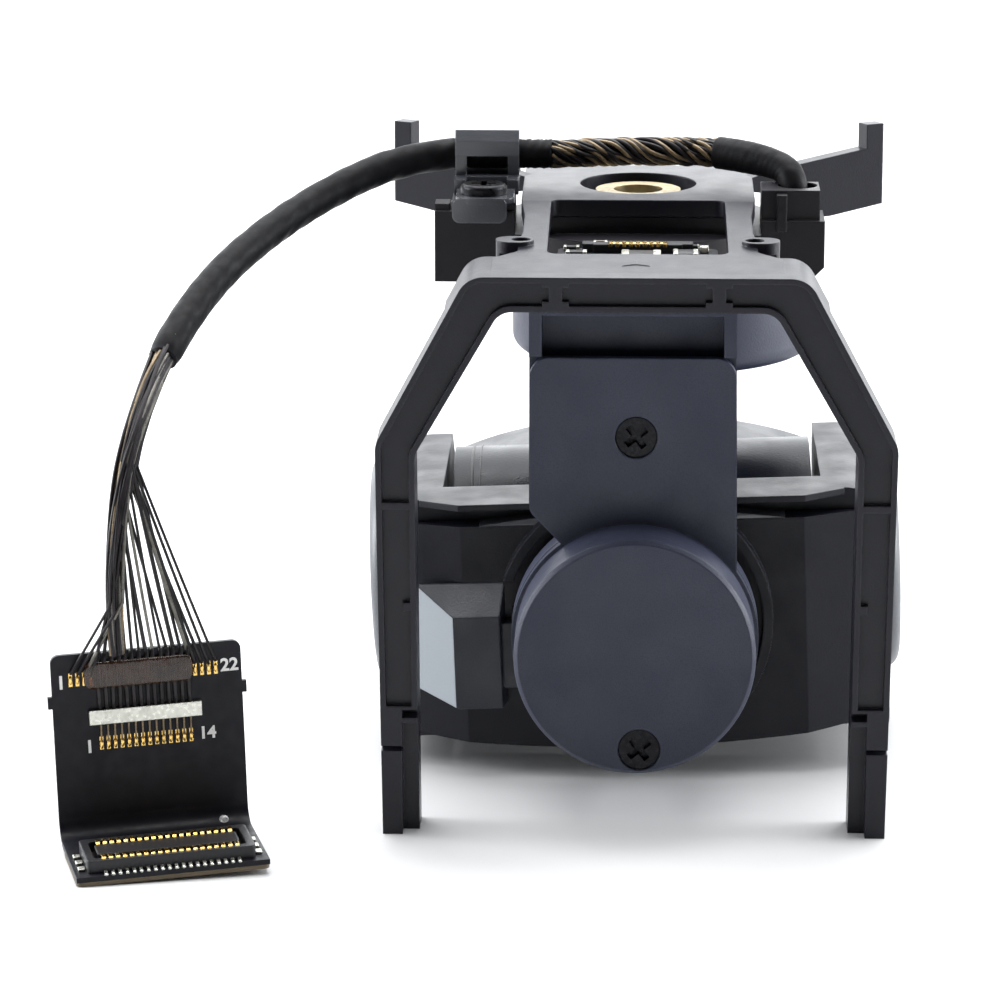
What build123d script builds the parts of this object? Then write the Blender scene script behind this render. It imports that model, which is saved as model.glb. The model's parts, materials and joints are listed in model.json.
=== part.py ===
"""Three-axis camera gimbal of a small drone, in millimetres.

The rear arch stands at -Y, the lens looks along +Y and the floor is at Z = 0.
Lengths along Y are given from the yaw axis, which stands AXIS_Y in front of the origin.
"""
from build123d import *
import os
from math import atan2, cos, pi, radians, sin, tan

os.makedirs("parts", exist_ok=True)

# ---- driving dimensions --------------------------------------------------------------------
ARCH_REAR = -23.75          # rear face of the arch at its top
LENS_FRONT = 14.1           # front rim of the lens ring
AXIS_Y = -(ARCH_REAR + LENS_FRONT) / 2   # yaw axis, from the middle of the object's length

ROLL_Z = 9.7                # height of the roll and pitch axes
REST_ROLL = -2.2            # how the unpowered gimbal hangs, in degrees about +Y
PITCH_Y = 3.5               # pitch axis, from the yaw axis

PLATE_TOP = 34.5            # top of the bracket plate at the hub hole
PLATE_REAR_TOP = 33.2       # top of the plate where it runs into the arch
PLATE_THICK = 1.0
HUB_HOLE_R = 3.56
EYELET_X = 6.75             # eyelet holes, 13.5 mm apart
EYELET_Y = -15.9
EYELET_R = 0.56
BOSS_X = 7.1                # middle and width of the blocks round the eyelets
BOSS_WIDTH = 2.2
LEG_OUTER_X = 14.55
LEG_INNER_X = 12.45
ARCH_DEPTH = 3.2

CUP_R = 9.27                # yaw motor cup, set off to the right of the axis
CUP_X = 1.6
CUP_BOTTOM = 24.3
CUP_TOP = 29.0
CUP_BORE_R = 6.9

ARM_REAR = -15.2            # rear face of the yaw arm
ARM_FRONT = -12.4
ARM_LEFT = -6.3             # sides of the arm, which stands a little to the left of the roll axis
ARM_RIGHT = 5.8
ARM_RING_R = 7.35
DRUM_R = 7.09               # round drum of the roll motor
DRUM_REAR = -19.1

BACK_REAR = -10.3           # rear face of the roll bracket's back cover
BACK_FRONT = -6.4
BACK_TOP = 17.0
BACK_BOTTOM = 1.6
SIDE_IN = 11.5              # inner and outer faces of the roll bracket's side arms
SIDE_OUT = 15.3
CAP_R = 7.2
CAP_OUT = 16.4

CAMERA_HALF = 11.1          # half the camera housing's width
REAR_SHELL_R = 7.5
SHELL_SPLIT = PITCH_Y + 1.5
SHELL_FRONT = PITCH_Y + 8.6
LENS_RING_R = 5.6

RUNNING_GAP = 0.03          # radial clearance of each shaft in its bearings
SEAT_GAP = 0.01             # clearance of pieces that are pressed or glued together
MAGNET_COUNT = 12
RECESS_TURN = 38            # turn of the screws' cross recesses, in degrees
TOOTH_COUNT = 9

LEAD_R = 0.9                # radius of the sleeved lead
BOARD_TURN = 14.3           # the flex board's turn about Z, in degrees
BOARD_LEAN = 1.8            # its lead lifts one end of it by this much, in degrees
BOARD_FOOT = (-27.75, -23.98)  # middle of the board's lower edge
BOARD_WIDTH = 11.0
BOARD_HEIGHT = 11.4
BOARD_FLANGE = 7.8
BOARD_THICK = 0.3
PITCH_CONTACT = 0.4         # contact pitch of the connector and of the solder pads

# ---- planes --------------------------------------------------------------------------------


def level(z):
    """Horizontal plane at height z, centred on the yaw axis."""
    return Plane(origin=(0, AXIS_Y, z))


def rearward(y, x=0, z=0):
    """Upright plane that faces -Y: local x is X, local y is Z."""
    return Plane(origin=(x, AXIS_Y + y, z), x_dir=(1, 0, 0), z_dir=(0, -1, 0))


def sideways(x, y=0, z=0):
    """Upright plane that faces +X: local x is Y, local y is Z."""
    return Plane(origin=(x, AXIS_Y + y, z), x_dir=(0, 1, 0), z_dir=(1, 0, 0))


# ---- shared shapes -------------------------------------------------------------------------


def ring(plane, length, outer, inner):
    """A plain ring or bush that grows from plane."""
    with BuildPart() as piece:
        with BuildSketch(plane):
            Circle(outer)
            Circle(inner, mode=Mode.SUBTRACT)
        extrude(amount=length)
    return piece


def pin(plane, length, radius):
    """A shaft with a small chamfer at both ends."""
    with BuildPart() as piece:
        with BuildSketch(plane):
            Circle(radius)
        extrude(amount=length)
        chamfer(piece.edges().filter_by(GeomType.CIRCLE), radius / 4)
    return piece


def bearings(planes, width, outer, inner):
    """Two ball bearings of one shaft, each a ring with a groove between its races."""
    with BuildPart() as piece:
        for plane in planes:
            with BuildSketch(plane):
                Circle(outer)
                Circle(inner, mode=Mode.SUBTRACT)
            extrude(amount=width)
            groove = (outer + inner) / 2
            with BuildSketch(plane.offset(width)):
                Circle(groove + 0.1)
                Circle(groove - 0.1, mode=Mode.SUBTRACT)
            extrude(amount=-0.15, mode=Mode.SUBTRACT)
    return piece


def magnets(plane, length, outer, inner):
    """The ring of separate magnets inside a rotor."""
    with BuildPart() as piece:
        with BuildSketch(plane):
            Circle(outer)
            Circle(inner, mode=Mode.SUBTRACT)
            with PolarLocations(outer, MAGNET_COUNT):
                Rectangle(outer, 0.14, mode=Mode.SUBTRACT)
        extrude(amount=length)
    return piece


def stator_core(plane, length, outer, hub, tooth):
    """Laminated core: a collar on the hub, straight teeth and their curved shoes."""
    with BuildPart() as piece:
        with BuildSketch(plane):
            Circle(outer)
            Circle(outer - tooth / 2, mode=Mode.SUBTRACT)
            with PolarLocations(outer, TOOTH_COUNT, start_angle=180 / TOOTH_COUNT):
                Rectangle(tooth * 3, tooth / 2, mode=Mode.SUBTRACT)
            with PolarLocations((outer + hub) / 2, TOOTH_COUNT):
                Rectangle(outer - hub - tooth / 4, tooth)
            Circle(hub + tooth / 2)
            Circle(hub + SEAT_GAP, mode=Mode.SUBTRACT)
        extrude(amount=length)
    return piece


def stator_coils(plane, length, outer, hub, tooth):
    """One coil round each tooth, as long as the tooth's straight part."""
    start = hub + tooth / 2 + tooth * 0.6
    end = outer - tooth / 2 - 0.05
    gap = 2 * SEAT_GAP
    wide = min(tooth * 2.2, 2 * start * tan(pi / TOOTH_COUNT) - 0.06)
    overhang = tooth / 2
    with BuildPart() as piece:
        with BuildSketch(plane.offset(-overhang)):
            with PolarLocations((start + end) / 2, TOOTH_COUNT):
                RectangleRounded(end - start, wide, min(end - start, wide) / 6)
        extrude(amount=length + 2 * overhang)
        with BuildSketch(plane.offset(-SEAT_GAP)):
            with PolarLocations((start + end) / 2, TOOTH_COUNT):
                Rectangle(end - start + 1, tooth + gap)
        extrude(amount=length + gap, mode=Mode.SUBTRACT)
    return piece


def screws(places, head, shank, recess):
    """Flat-headed cross-recessed screws; each place is the plane over a head and its length."""
    slot = head * 0.32
    with BuildPart() as piece:
        for plane, length in places:
            with BuildSketch(plane.offset(-recess)):
                Circle(head)
            extrude(amount=-head * 0.55, taper=35)
            with BuildSketch(plane.offset(-recess - head * 0.4)):
                Circle(shank)
            extrude(amount=-length)
            with BuildSketch(plane.offset(-recess)):
                Rectangle(head * 1.25, slot, rotation=RECESS_TURN)
                Rectangle(slot, head * 1.25, rotation=RECESS_TURN)
            extrude(amount=-head * 0.4, mode=Mode.SUBTRACT)
    return piece


# ---- mount bracket -------------------------------------------------------------------------

ARCH_LEAN = 1.0             # the arch's top stands this much behind the feet of its legs
arch_lean_angle = atan2(ARCH_LEAN, PLATE_REAR_TOP)
arch_plane = Plane(
    origin=(0, AXIS_Y + ARCH_REAR + ARCH_LEAN, 0),
    x_dir=(1, 0, 0),
    z_dir=(0, -cos(arch_lean_angle), -sin(arch_lean_angle)),
)
RIM = 0.34                  # width of the rim round the arch's sunk web
PRONG_SPLIT_X = 13.4        # the foot of each leg is split into an inner and an outer prong
ARCH_RIB_X = 4.6            # the two wide-ended ribs across the top of the arch
LEG_RIB_Z = 19.8
SHOULDER_Z = 30.6
SHOULDER_DEPTH = 5.4


def mirrored(points):
    """A symmetric outline from its right half, read upwards."""
    return points + [(-x, y) for x, y in reversed(points)]


with BuildSketch() as arch_outline:
    with BuildLine():
        Polyline(*mirrored([(LEG_OUTER_X, -0.5), (14.85, 23.4), (9.6, 33.2)]), close=True)
    make_face()
    fillet(arch_outline.vertices().filter_by(lambda v: v.Y > 5), 1.6)
    with BuildLine():
        Polyline(*mirrored([(LEG_INNER_X, -1.0), (12.6, 22.8), (7.75, 31.2)]), close=True)
    make_face(mode=Mode.SUBTRACT)
    fillet(arch_outline.vertices().filter_by(lambda v: v.Y > 5 and abs(v.X) in (12.6, 7.75)), 1.2)

with BuildSketch() as plate_outline:
    with BuildLine():
        Polyline(
            *mirrored([
                (8.3, -22.6), (8.3, -19.3), (6.9, -17.8), (6.8, -14.6), (6.7, -13.4), (6.7, -9.5), (7.0, -5.5), (7.0, 6.2),
            ]),
            close=True,
        )
    make_face()
    fillet(plate_outline.vertices().filter_by(lambda v: v.Y > -22), 0.6)
    Circle(HUB_HOLE_R, mode=Mode.SUBTRACT)
    with Locations((0, -12.0)):
        RectangleRounded(10.4, 12.6, 0.6, mode=Mode.SUBTRACT)
    with Locations((EYELET_X, EYELET_Y), (-EYELET_X, EYELET_Y)):
        Circle(EYELET_R, mode=Mode.SUBTRACT)

with BuildPart() as mount_bracket:
    # the plate rises gently from the arch to the hub hole
    with BuildSketch(sideways(0)):
        with BuildLine():
            Polyline(
                (-22.8, PLATE_REAR_TOP - PLATE_THICK), (-22.8, PLATE_REAR_TOP), (-6.0, PLATE_TOP - 0.1),
                (6.3, PLATE_TOP), (6.3, PLATE_TOP - PLATE_THICK), (-6.0, PLATE_TOP - 0.1 - PLATE_THICK),
                close=True,
            )
        make_face()
    extrude(amount=12, both=True)
    with BuildSketch(level(30)):
        add(plate_outline.sketch_local)
    extrude(amount=6, mode=Mode.INTERSECT)
    # bosses of the two eyelets, each with a slot cut in from behind
    with BuildSketch(level(31.6)):
        with Locations((BOSS_X, EYELET_Y), (-BOSS_X, EYELET_Y)):
            RectangleRounded(BOSS_WIDTH, 2.0, 0.9)
        with Locations((EYELET_X, EYELET_Y), (-EYELET_X, EYELET_Y)):
            Circle(EYELET_R, mode=Mode.SUBTRACT)
    extrude(amount=2.3)
    with BuildSketch(level(30)):
        with Locations((EYELET_X, EYELET_Y), (-EYELET_X, EYELET_Y)):
            Circle(EYELET_R)
    extrude(amount=6, mode=Mode.SUBTRACT)
    with BuildSketch(rearward(-17.2)):
        with Locations((BOSS_X + 0.35, 32.75), (-BOSS_X - 0.35, 32.75)):
            Rectangle(1.0, 0.9)
    extrude(amount=-0.65, mode=Mode.SUBTRACT)
    # rear arch and legs
    with BuildSketch(arch_plane):
        add(arch_outline.sketch_local)
    extrude(amount=-ARCH_DEPTH)
    split(bisect_by=Plane.XY, keep=Keep.TOP)
    # the arch's rounded shoulders run forward under the plate
    with BuildSketch(arch_plane):
        add(arch_outline.sketch_local)
        with Locations((0, SHOULDER_Z)):
            Rectangle(40, 40, align=(Align.CENTER, Align.MAX), mode=Mode.SUBTRACT)
    extrude(amount=-SHOULDER_DEPTH)
    # sunk web between the rims, crossed by short ribs
    with BuildSketch(arch_plane):
        offset(arch_outline.sketch_local, amount=-RIM, kind=Kind.INTERSECTION)
        with Locations((0, 3.5)):
            Rectangle(32, 8.6, mode=Mode.SUBTRACT)
        for side in (1, -1):
            with Locations((side * ARCH_RIB_X, 31.62), (side * ARCH_RIB_X, 32.8)):
                Rectangle(1.5, 0.36, mode=Mode.SUBTRACT)
            with Locations((side * ARCH_RIB_X, 32.2)):
                Rectangle(0.75, 2.0, mode=Mode.SUBTRACT)
            with Locations((side * 13.6, LEG_RIB_Z)):
                Rectangle(2.4, 0.4, mode=Mode.SUBTRACT)
            with Locations((side * 12.95, 13.8)):
                Rectangle(0.7, 0.5, mode=Mode.SUBTRACT)
    extrude(amount=-0.45, mode=Mode.SUBTRACT)
    # feet: the inner prong stands back and a groove cuts off the outer one
    for side in (1, -1):
        inner_middle = side * (LEG_INNER_X - 0.5 + PRONG_SPLIT_X) / 2
        with BuildSketch(arch_plane.offset(0.2)):
            with Locations((inner_middle, 3.1)):
                Rectangle(PRONG_SPLIT_X - LEG_INNER_X + 0.5, 7.4)
            with Locations((inner_middle, 7.35)):
                Rectangle(PRONG_SPLIT_X - LEG_INNER_X + 0.5, 0.5)
        extrude(amount=-1.2, mode=Mode.SUBTRACT)
        with BuildSketch(arch_plane.offset(0.2)):
            with Locations((side * 14.1, 5.25)):
                Rectangle(1.6, 0.3)
        extrude(amount=-1.0, mode=Mode.SUBTRACT)
    # front arms, which run outwards and forwards from the plate
    for side in (1, -1):
        arm_plane = Plane(
            origin=(side * 6.3, AXIS_Y + 2.8, 0),
            x_dir=(side * 0.875, 0.484, 0),
            z_dir=(0.484, -side * 0.875, 0),
        )
        with BuildSketch(arm_plane):
            with BuildLine():
                Polyline(
                    (0, PLATE_TOP - PLATE_THICK + 0.1), (0, PLATE_TOP - 0.1), (2.2, PLATE_TOP + 0.35),
                    (8.5, 35.65), (8.5, 37.15), (9.7, 37.15), (9.7, 32.1), (5.9, 31.6),
                    (4.9, 31.6), (4.6, 33.1), (2.0, 33.3), close=True,
                )
            make_face()
        extrude(amount=side * 1.0)

# ---- motor carrier and what it holds -------------------------------------------------------

BLOCK_REAR = -5.9
BLOCK_DEPTH = 3.9
LEFT_BLOCK = (-12.2, -7.4)
RIGHT_BLOCK = (7.4, 11.2)
CARRIER_TOP = 32.9
CARRIER_BOTTOM = 30.3
HUB_R = 2.0                 # bearing hub of the yaw motor
YAW_SHAFT_R = 0.75
YAW_BEARING_R = 1.5
CABLE_SOCKET = (9.6, -3.6)  # where the cable goes down into the right block
CLIP_X = -9.2
CLIP_SCREW = (CLIP_X - 0.1, -4.4)
CLIP_BASE = 34.2
BASE_SCREWS = ((5.6, 3.6), (-5.6, 3.6), (5.6, -3.6), (-5.6, -3.6))


def block(x_range, bottom, top, rear, depth):
    """Adds a plain block between two heights to the part that is being built."""
    middle = ((x_range[0] + x_range[1]) / 2, AXIS_Y + rear + depth / 2, (bottom + top) / 2)
    with Locations(middle):
        Box(x_range[1] - x_range[0], depth, top - bottom)


with BuildPart() as motor_carrier:
    with BuildSketch(level(CARRIER_BOTTOM)):
        Circle(8.6)
        with Locations((0, BLOCK_REAR + BLOCK_DEPTH / 2)):
            Rectangle(16, BLOCK_DEPTH)
        Circle(4.2, mode=Mode.SUBTRACT)
    extrude(amount=CARRIER_TOP - CARRIER_BOTTOM - 0.6)
    with BuildSketch(level(CARRIER_BOTTOM + 1)):
        with Locations(*BASE_SCREWS):
            Circle(1.1)
    extrude(amount=PLATE_TOP - PLATE_THICK - 0.12 - CARRIER_BOTTOM - 1)
    with BuildSketch(level(CARRIER_BOTTOM)):
        with Locations(*BASE_SCREWS):
            Circle(0.47)
    extrude(amount=1.6, mode=Mode.SUBTRACT)
    block(LEFT_BLOCK, 29.4, 33.7, BLOCK_REAR, BLOCK_DEPTH)
    block((LEFT_BLOCK[0], LEFT_BLOCK[0] + 0.9), 33.7, 34.1, BLOCK_REAR + 0.3, 1.6)
    block((LEFT_BLOCK[0] + 1.0, LEFT_BLOCK[1]), 33.7, 34.2, BLOCK_REAR + 0.2, 3.4)
    block(RIGHT_BLOCK, 29.6, 33.2, BLOCK_REAR, BLOCK_DEPTH)
    # low wall that closes the plate's window towards the motor
    block((-5.9, 5.9), CARRIER_TOP - 0.6, 33.34, -5.6, 0.6)
    block((RIGHT_BLOCK[0], RIGHT_BLOCK[1] - 0.3), 33.2, 35.0, BLOCK_REAR + 0.4, BLOCK_DEPTH - 0.8)
    block((RIGHT_BLOCK[0] + 0.9, RIGHT_BLOCK[0] + 1.5), 32.6, 34.8, BLOCK_REAR - 0.3, 0.8)
    with BuildSketch(level(32.2)):
        with Locations(CABLE_SOCKET):
            Circle(LEAD_R + 0.3)
    extrude(amount=5, mode=Mode.SUBTRACT)
    with BuildSketch(level(32.2)):
        with Locations(CLIP_SCREW):
            Circle(0.5)
    extrude(amount=5, mode=Mode.SUBTRACT)
    low_corner = motor_carrier.edges().filter_by(Axis.Y).sort_by(Axis.X)[-2:].sort_by(Axis.Z)[0]
    chamfer(low_corner, 0.8)

with BuildPart() as yaw_motor_base:
    with BuildSketch(level(CUP_TOP + 0.4)):
        Circle(7.4)
        Circle(1.0, mode=Mode.SUBTRACT)
        with Locations(*BASE_SCREWS):
            Circle(0.47, mode=Mode.SUBTRACT)
        with PolarLocations(4.6, 3, start_angle=90):
            Circle(0.9, mode=Mode.SUBTRACT)
    extrude(amount=CARRIER_BOTTOM - CUP_TOP - 0.4)
    with BuildSketch(level(25.7)):
        Circle(HUB_R)
        Circle(1.0, mode=Mode.SUBTRACT)
    extrude(amount=33.3 - 25.7)
    for bottom in (25.7, 32.4):
        with BuildSketch(level(bottom)):
            Circle(YAW_BEARING_R)
        extrude(amount=0.9, mode=Mode.SUBTRACT)

hub_ring = ring(level(33.3), 0.8, 2.6, 1.5)
yaw_bearings = bearings(
    [level(25.72), level(32.4)], 0.88, YAW_BEARING_R - SEAT_GAP, YAW_SHAFT_R + RUNNING_GAP
)
YAW_CORE = (level(26.3), 2.2, 5.6, HUB_R, 0.8)
yaw_stator = stator_core(*YAW_CORE)
yaw_coils = stator_coils(*YAW_CORE)

with BuildPart() as carrier_screws:
    with BuildSketch(level(CUP_TOP + 0.45)):
        with Locations(*BASE_SCREWS):
            Circle(0.45)
    extrude(amount=2.3)

with BuildPart() as yaw_board:
    with BuildSketch(level(32.0)):
        with Locations((0, -14.0)):
            RectangleRounded(9.4, 6.8, 0.6)
    extrude(amount=0.4)

CONTACT_ROW_Y = -11.5
with BuildPart() as board_connector:
    with BuildSketch(level(32.4)):
        with Locations((0, CONTACT_ROW_Y)):
            Rectangle(5.2, 1.2)
            with Locations((-2.9, 0.1), (2.9, 0.1)):
                Rectangle(0.7, 1.0)
    extrude(amount=0.5)
    with BuildSketch(level(32.75)):
        with Locations((0, CONTACT_ROW_Y - 0.2)):
            with GridLocations(PITCH_CONTACT, 1, 9, 1):
                Rectangle(0.22, 0.9)
    extrude(amount=0.3, mode=Mode.SUBTRACT)

with BuildPart() as board_contacts:
    with BuildSketch(level(32.76)):
        with Locations((0, CONTACT_ROW_Y - 0.2)):
            with GridLocations(PITCH_CONTACT, 1, 9, 1):
                Rectangle(0.2, 0.86)
    extrude(amount=0.2)

# ---- cable clip ----------------------------------------------------------------------------

CABLE_Z = 36.2              # height of the cable over the plate
CLIP_HALF = 1.95

with BuildPart() as cable_clip:
    # screwed foot, posts on both sides, saddle under the cable and the cap over it
    with BuildSketch(level(CLIP_BASE)):
        with Locations((CLIP_X, -4.3)):
            RectangleRounded(3.5, 4.1, 0.8)
        with Locations(CLIP_SCREW):
            Circle(0.55, mode=Mode.SUBTRACT)
    extrude(amount=0.35)
    with BuildSketch(rearward(BLOCK_REAR - 0.02)):
        with Locations((CLIP_X - 0.3, CLIP_BASE - 0.4)):
            RectangleRounded(3.3, 1.5, 0.5)
    extrude(amount=0.42)
    for side in (1, -1):
        block((CLIP_X + side * 1.6 - 0.35, CLIP_X + side * 1.6 + 0.35), CLIP_BASE, 35.1, -2.9, 2.5)
        block((CLIP_X + side * 1.6 - 0.35, CLIP_X + side * 1.6 + 0.35), 34.5, 36.9, -1.2, 0.5)
        block((CLIP_X + side * 1.6 - 0.35, CLIP_X + side * 1.6 + 0.35), 34.5, 36.9, 1.5, 0.5)
        block((CLIP_X + side * 1.6 - 0.35, CLIP_X + side * 1.6 + 0.35), 34.3, 34.9, -1.2, 3.2)
    block((CLIP_X - 1.3, CLIP_X + 1.3), 34.7, 35.15, -1.9, 3.9)
    block((CLIP_X - 0.9, CLIP_X + 0.9), 34.3, 34.8, -2.9, 3.0)
    with BuildSketch(sideways(CLIP_X - CLIP_HALF)):
        with BuildLine():
            Polyline(
                (-1.5, 36.3), (-1.5, 37.2), (-1.0, 37.85), (1.6, 37.85), (2.0, 37.4), (2.0, 36.6),
                (1.5, 36.6), (1.5, 36.3), close=True,
            )
        make_face()
    extrude(amount=2 * CLIP_HALF)
    # the cable's channel
    with BuildSketch(sideways(CLIP_X - 3)):
        with Locations((0.2, CABLE_Z)):
            Circle(LEAD_R + 0.02)
    extrude(amount=6, mode=Mode.SUBTRACT)

with BuildPart() as cable_clip_screw:
    with BuildSketch(level(CLIP_BASE + 0.36)):
        with Locations(CLIP_SCREW):
            Circle(1.4)
    extrude(amount=0.6)
    fillet(cable_clip_screw.edges().group_by(Axis.Z)[-1], 0.25)
    with BuildSketch(level(CLIP_BASE + 0.96)):
        with Locations(CLIP_SCREW):
            Rectangle(1.5, 0.35)
            Rectangle(0.35, 1.5)
    extrude(amount=-0.35, mode=Mode.SUBTRACT)
    with BuildSketch(level(CLIP_BASE + 0.4)):
        with Locations(CLIP_SCREW):
            Circle(0.48)
    extrude(amount=-2.2)

# ---- yaw arm -------------------------------------------------------------------------------

ARM_TOP = 30.0
COVER_TOP = 26.8
ARM_SCREW_Z = 22.0
DRUM_SCREW = (0.3, 4.1)
DRUM_WALL = 0.8
ROLL_HUB_R = 1.35
SMALL_SHAFT_R = 0.5
SMALL_BEARING_R = 1.05
ROLL_RIM_R = 4.3            # outer radius of the roll motor's rotor
PITCH_RIM_R = 5.0

with BuildSketch() as arm_outline:
    with BuildLine():
        Polyline(
            (ARM_LEFT, ARM_TOP), (ARM_LEFT, 17.5), (-4.3, 15.4), (-4.3, ROLL_Z), (6.1, ROLL_Z),
            (ARM_RIGHT + 0.2, 14.3), (ARM_RIGHT, ARM_TOP), close=True,
        )
    make_face()
    fillet(arm_outline.vertices().filter_by(lambda v: v.X < -4 and v.Y < 20 and v.Y > 12), 0.8)
    with Locations((0, ROLL_Z)):
        Circle(ARM_RING_R)

with BuildPart() as yaw_arm:
    with BuildSketch(level(CUP_BOTTOM)):
        with Locations((CUP_X, 0)):
            Circle(CUP_R)
    extrude(amount=CUP_TOP - CUP_BOTTOM)
    fillet(yaw_arm.edges().group_by(Axis.Z)[0], 1.0)
    with BuildSketch(level(CUP_BOTTOM + 0.3)):
        with Locations(((ARM_LEFT + ARM_RIGHT) / 2, -10.2)):
            Rectangle(10.4, 5.0)
    extrude(amount=CUP_TOP - CUP_BOTTOM - 0.6)
    with BuildSketch(level(CUP_BOTTOM + 0.9)):
        Circle(CUP_BORE_R)
    extrude(amount=5, mode=Mode.SUBTRACT)
    with BuildSketch(level(CUP_BOTTOM + 0.1)):
        Circle(YAW_SHAFT_R + SEAT_GAP)
    extrude(amount=2, mode=Mode.SUBTRACT)
    # upright arm and the ring round the roll motor
    with BuildSketch(rearward(ARM_REAR)):
        add(arm_outline.sketch_local)
    extrude(amount=ARM_REAR - ARM_FRONT)
    # seat of the cover, wiring channel behind it and the open channel above it
    with BuildSketch(rearward(ARM_REAR)):
        with Locations((0, COVER_TOP)):
            Rectangle(20, 40, align=(Align.CENTER, Align.MAX))
    extrude(amount=-0.75, mode=Mode.SUBTRACT)
    with BuildSketch(rearward(ARM_REAR)):
        offset(arm_outline.sketch_local, amount=-0.75)
        with Locations((0, ARM_SCREW_Z)):
            Circle(1.4, mode=Mode.SUBTRACT)
        with Locations((0, ROLL_Z)):
            Circle(6.8, mode=Mode.SUBTRACT)
    extrude(amount=-2.0, mode=Mode.SUBTRACT)
    with BuildSketch(rearward(ARM_REAR - 0.5)):
        with Locations((0, ROLL_Z)):
            Circle(ROLL_RIM_R + 0.35)
    extrude(amount=-2.5, mode=Mode.SUBTRACT)
    with BuildSketch(rearward(ARM_REAR)):
        with Locations((0, ROLL_Z)):
            Circle(3.0)
        with Locations((0, ARM_SCREW_Z), DRUM_SCREW):
            Circle(0.45)
    extrude(amount=-2.4, mode=Mode.SUBTRACT)
    with BuildSketch(rearward(ARM_REAR, 0, ARM_SCREW_Z)):
        Circle(0.85)
    extrude(amount=-0.95, mode=Mode.SUBTRACT)
    with BuildSketch(rearward(ARM_REAR)):
        with Locations((0, ROLL_Z)):
            Circle(3.0)
    extrude(amount=-4, mode=Mode.SUBTRACT)

with BuildPart() as yaw_arm_cover:
    with BuildSketch(rearward(ARM_REAR + 0.72)):
        offset(arm_outline.sketch_local, amount=-0.03)
        with Locations((0, COVER_TOP + 4.95)):
            Rectangle(20, 10, mode=Mode.SUBTRACT)
    extrude(amount=0.72)
    top_corners = yaw_arm_cover.edges().filter_by(Axis.Y).group_by(Axis.Z)[-1]
    fillet(top_corners, 1.2)
    with BuildSketch(rearward(ARM_REAR)):
        with Locations((0, ROLL_Z)):
            Circle(DRUM_R)
    extrude(amount=ARM_REAR - DRUM_REAR)
    chamfer(yaw_arm_cover.faces().sort_by(Axis.Y)[0].edges(), 0.25)
    # hollow drum with the roll motor's bearing hub and a screw boss
    with BuildSketch(rearward(DRUM_REAR + DRUM_WALL)):
        with Locations((0, ROLL_Z)):
            Circle(DRUM_R - DRUM_WALL)
            Circle(ROLL_HUB_R, mode=Mode.SUBTRACT)
        with Locations(DRUM_SCREW):
            Circle(0.95, mode=Mode.SUBTRACT)
            Rectangle(1.9, 2.6, align=(Align.CENTER, Align.MAX), mode=Mode.SUBTRACT)
    extrude(amount=-5, mode=Mode.SUBTRACT)
    with BuildSketch(rearward(DRUM_REAR + DRUM_WALL)):
        with Locations((0, ROLL_Z)):
            Circle(SMALL_SHAFT_R + 0.15)
    extrude(amount=-5, mode=Mode.SUBTRACT)
    for start in (DRUM_REAR + DRUM_WALL + 0.1, ARM_REAR):
        with BuildSketch(rearward(start)):
            with Locations((0, ROLL_Z)):
                Circle(SMALL_BEARING_R)
        extrude(amount=-0.75, mode=Mode.SUBTRACT)
    # countersunk screw holes
    for y, (x, z) in ((ARM_REAR, (0, ARM_SCREW_Z)), (DRUM_REAR, DRUM_SCREW)):
        with BuildSketch(rearward(y)):
            with Locations((x, z)):
                Circle(1.26)
        extrude(amount=-0.15, mode=Mode.SUBTRACT)
        with BuildSketch(rearward(y + 0.15)):
            with Locations((x, z)):
                Circle(1.24)
        extrude(amount=-0.72, taper=35, mode=Mode.SUBTRACT)
        with BuildSketch(rearward(y)):
            with Locations((x, z)):
                Circle(0.5)
        extrude(amount=-5, mode=Mode.SUBTRACT)

yaw_arm_screws = screws(
    [(rearward(ARM_REAR, 0, ARM_SCREW_Z), 1.6), (rearward(DRUM_REAR, *DRUM_SCREW), 5.6)], 1.21, 0.42, 0.15
)
yaw_rotor_ring = ring(level(CUP_BOTTOM + 0.92), 3.6, CUP_BORE_R - SEAT_GAP, 6.4)
yaw_magnets = magnets(level(CUP_BOTTOM + 1.4), 3.0, 6.4 - SEAT_GAP, 5.85)
yaw_shaft = pin(level(CUP_BOTTOM + 0.12), 8.9, YAW_SHAFT_R)

# ---- roll motor ----------------------------------------------------------------------------

BELL_REAR = -14.1
ROLL_RIM_REAR = -17.3
ROLL_CORE = (rearward(-14.6, 0, ROLL_Z), 2.4, 3.25, ROLL_HUB_R, 0.5)
roll_stator = stator_core(*ROLL_CORE)
roll_coils = stator_coils(*ROLL_CORE)
roll_bearings = bearings(
    [rearward(DRUM_REAR + DRUM_WALL + 0.1 + 0.7, 0, ROLL_Z), rearward(ARM_REAR + 0.7, 0, ROLL_Z)],
    0.68, SMALL_BEARING_R - SEAT_GAP, SMALL_SHAFT_R + RUNNING_GAP,
)
roll_magnets = magnets(rearward(BELL_REAR - 0.2, 0, ROLL_Z), 2.8, ROLL_RIM_R - 0.4 - SEAT_GAP, 3.45)
roll_shaft = pin(rearward(-10.8, 0, ROLL_Z), 7.3, SMALL_SHAFT_R)

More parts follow.
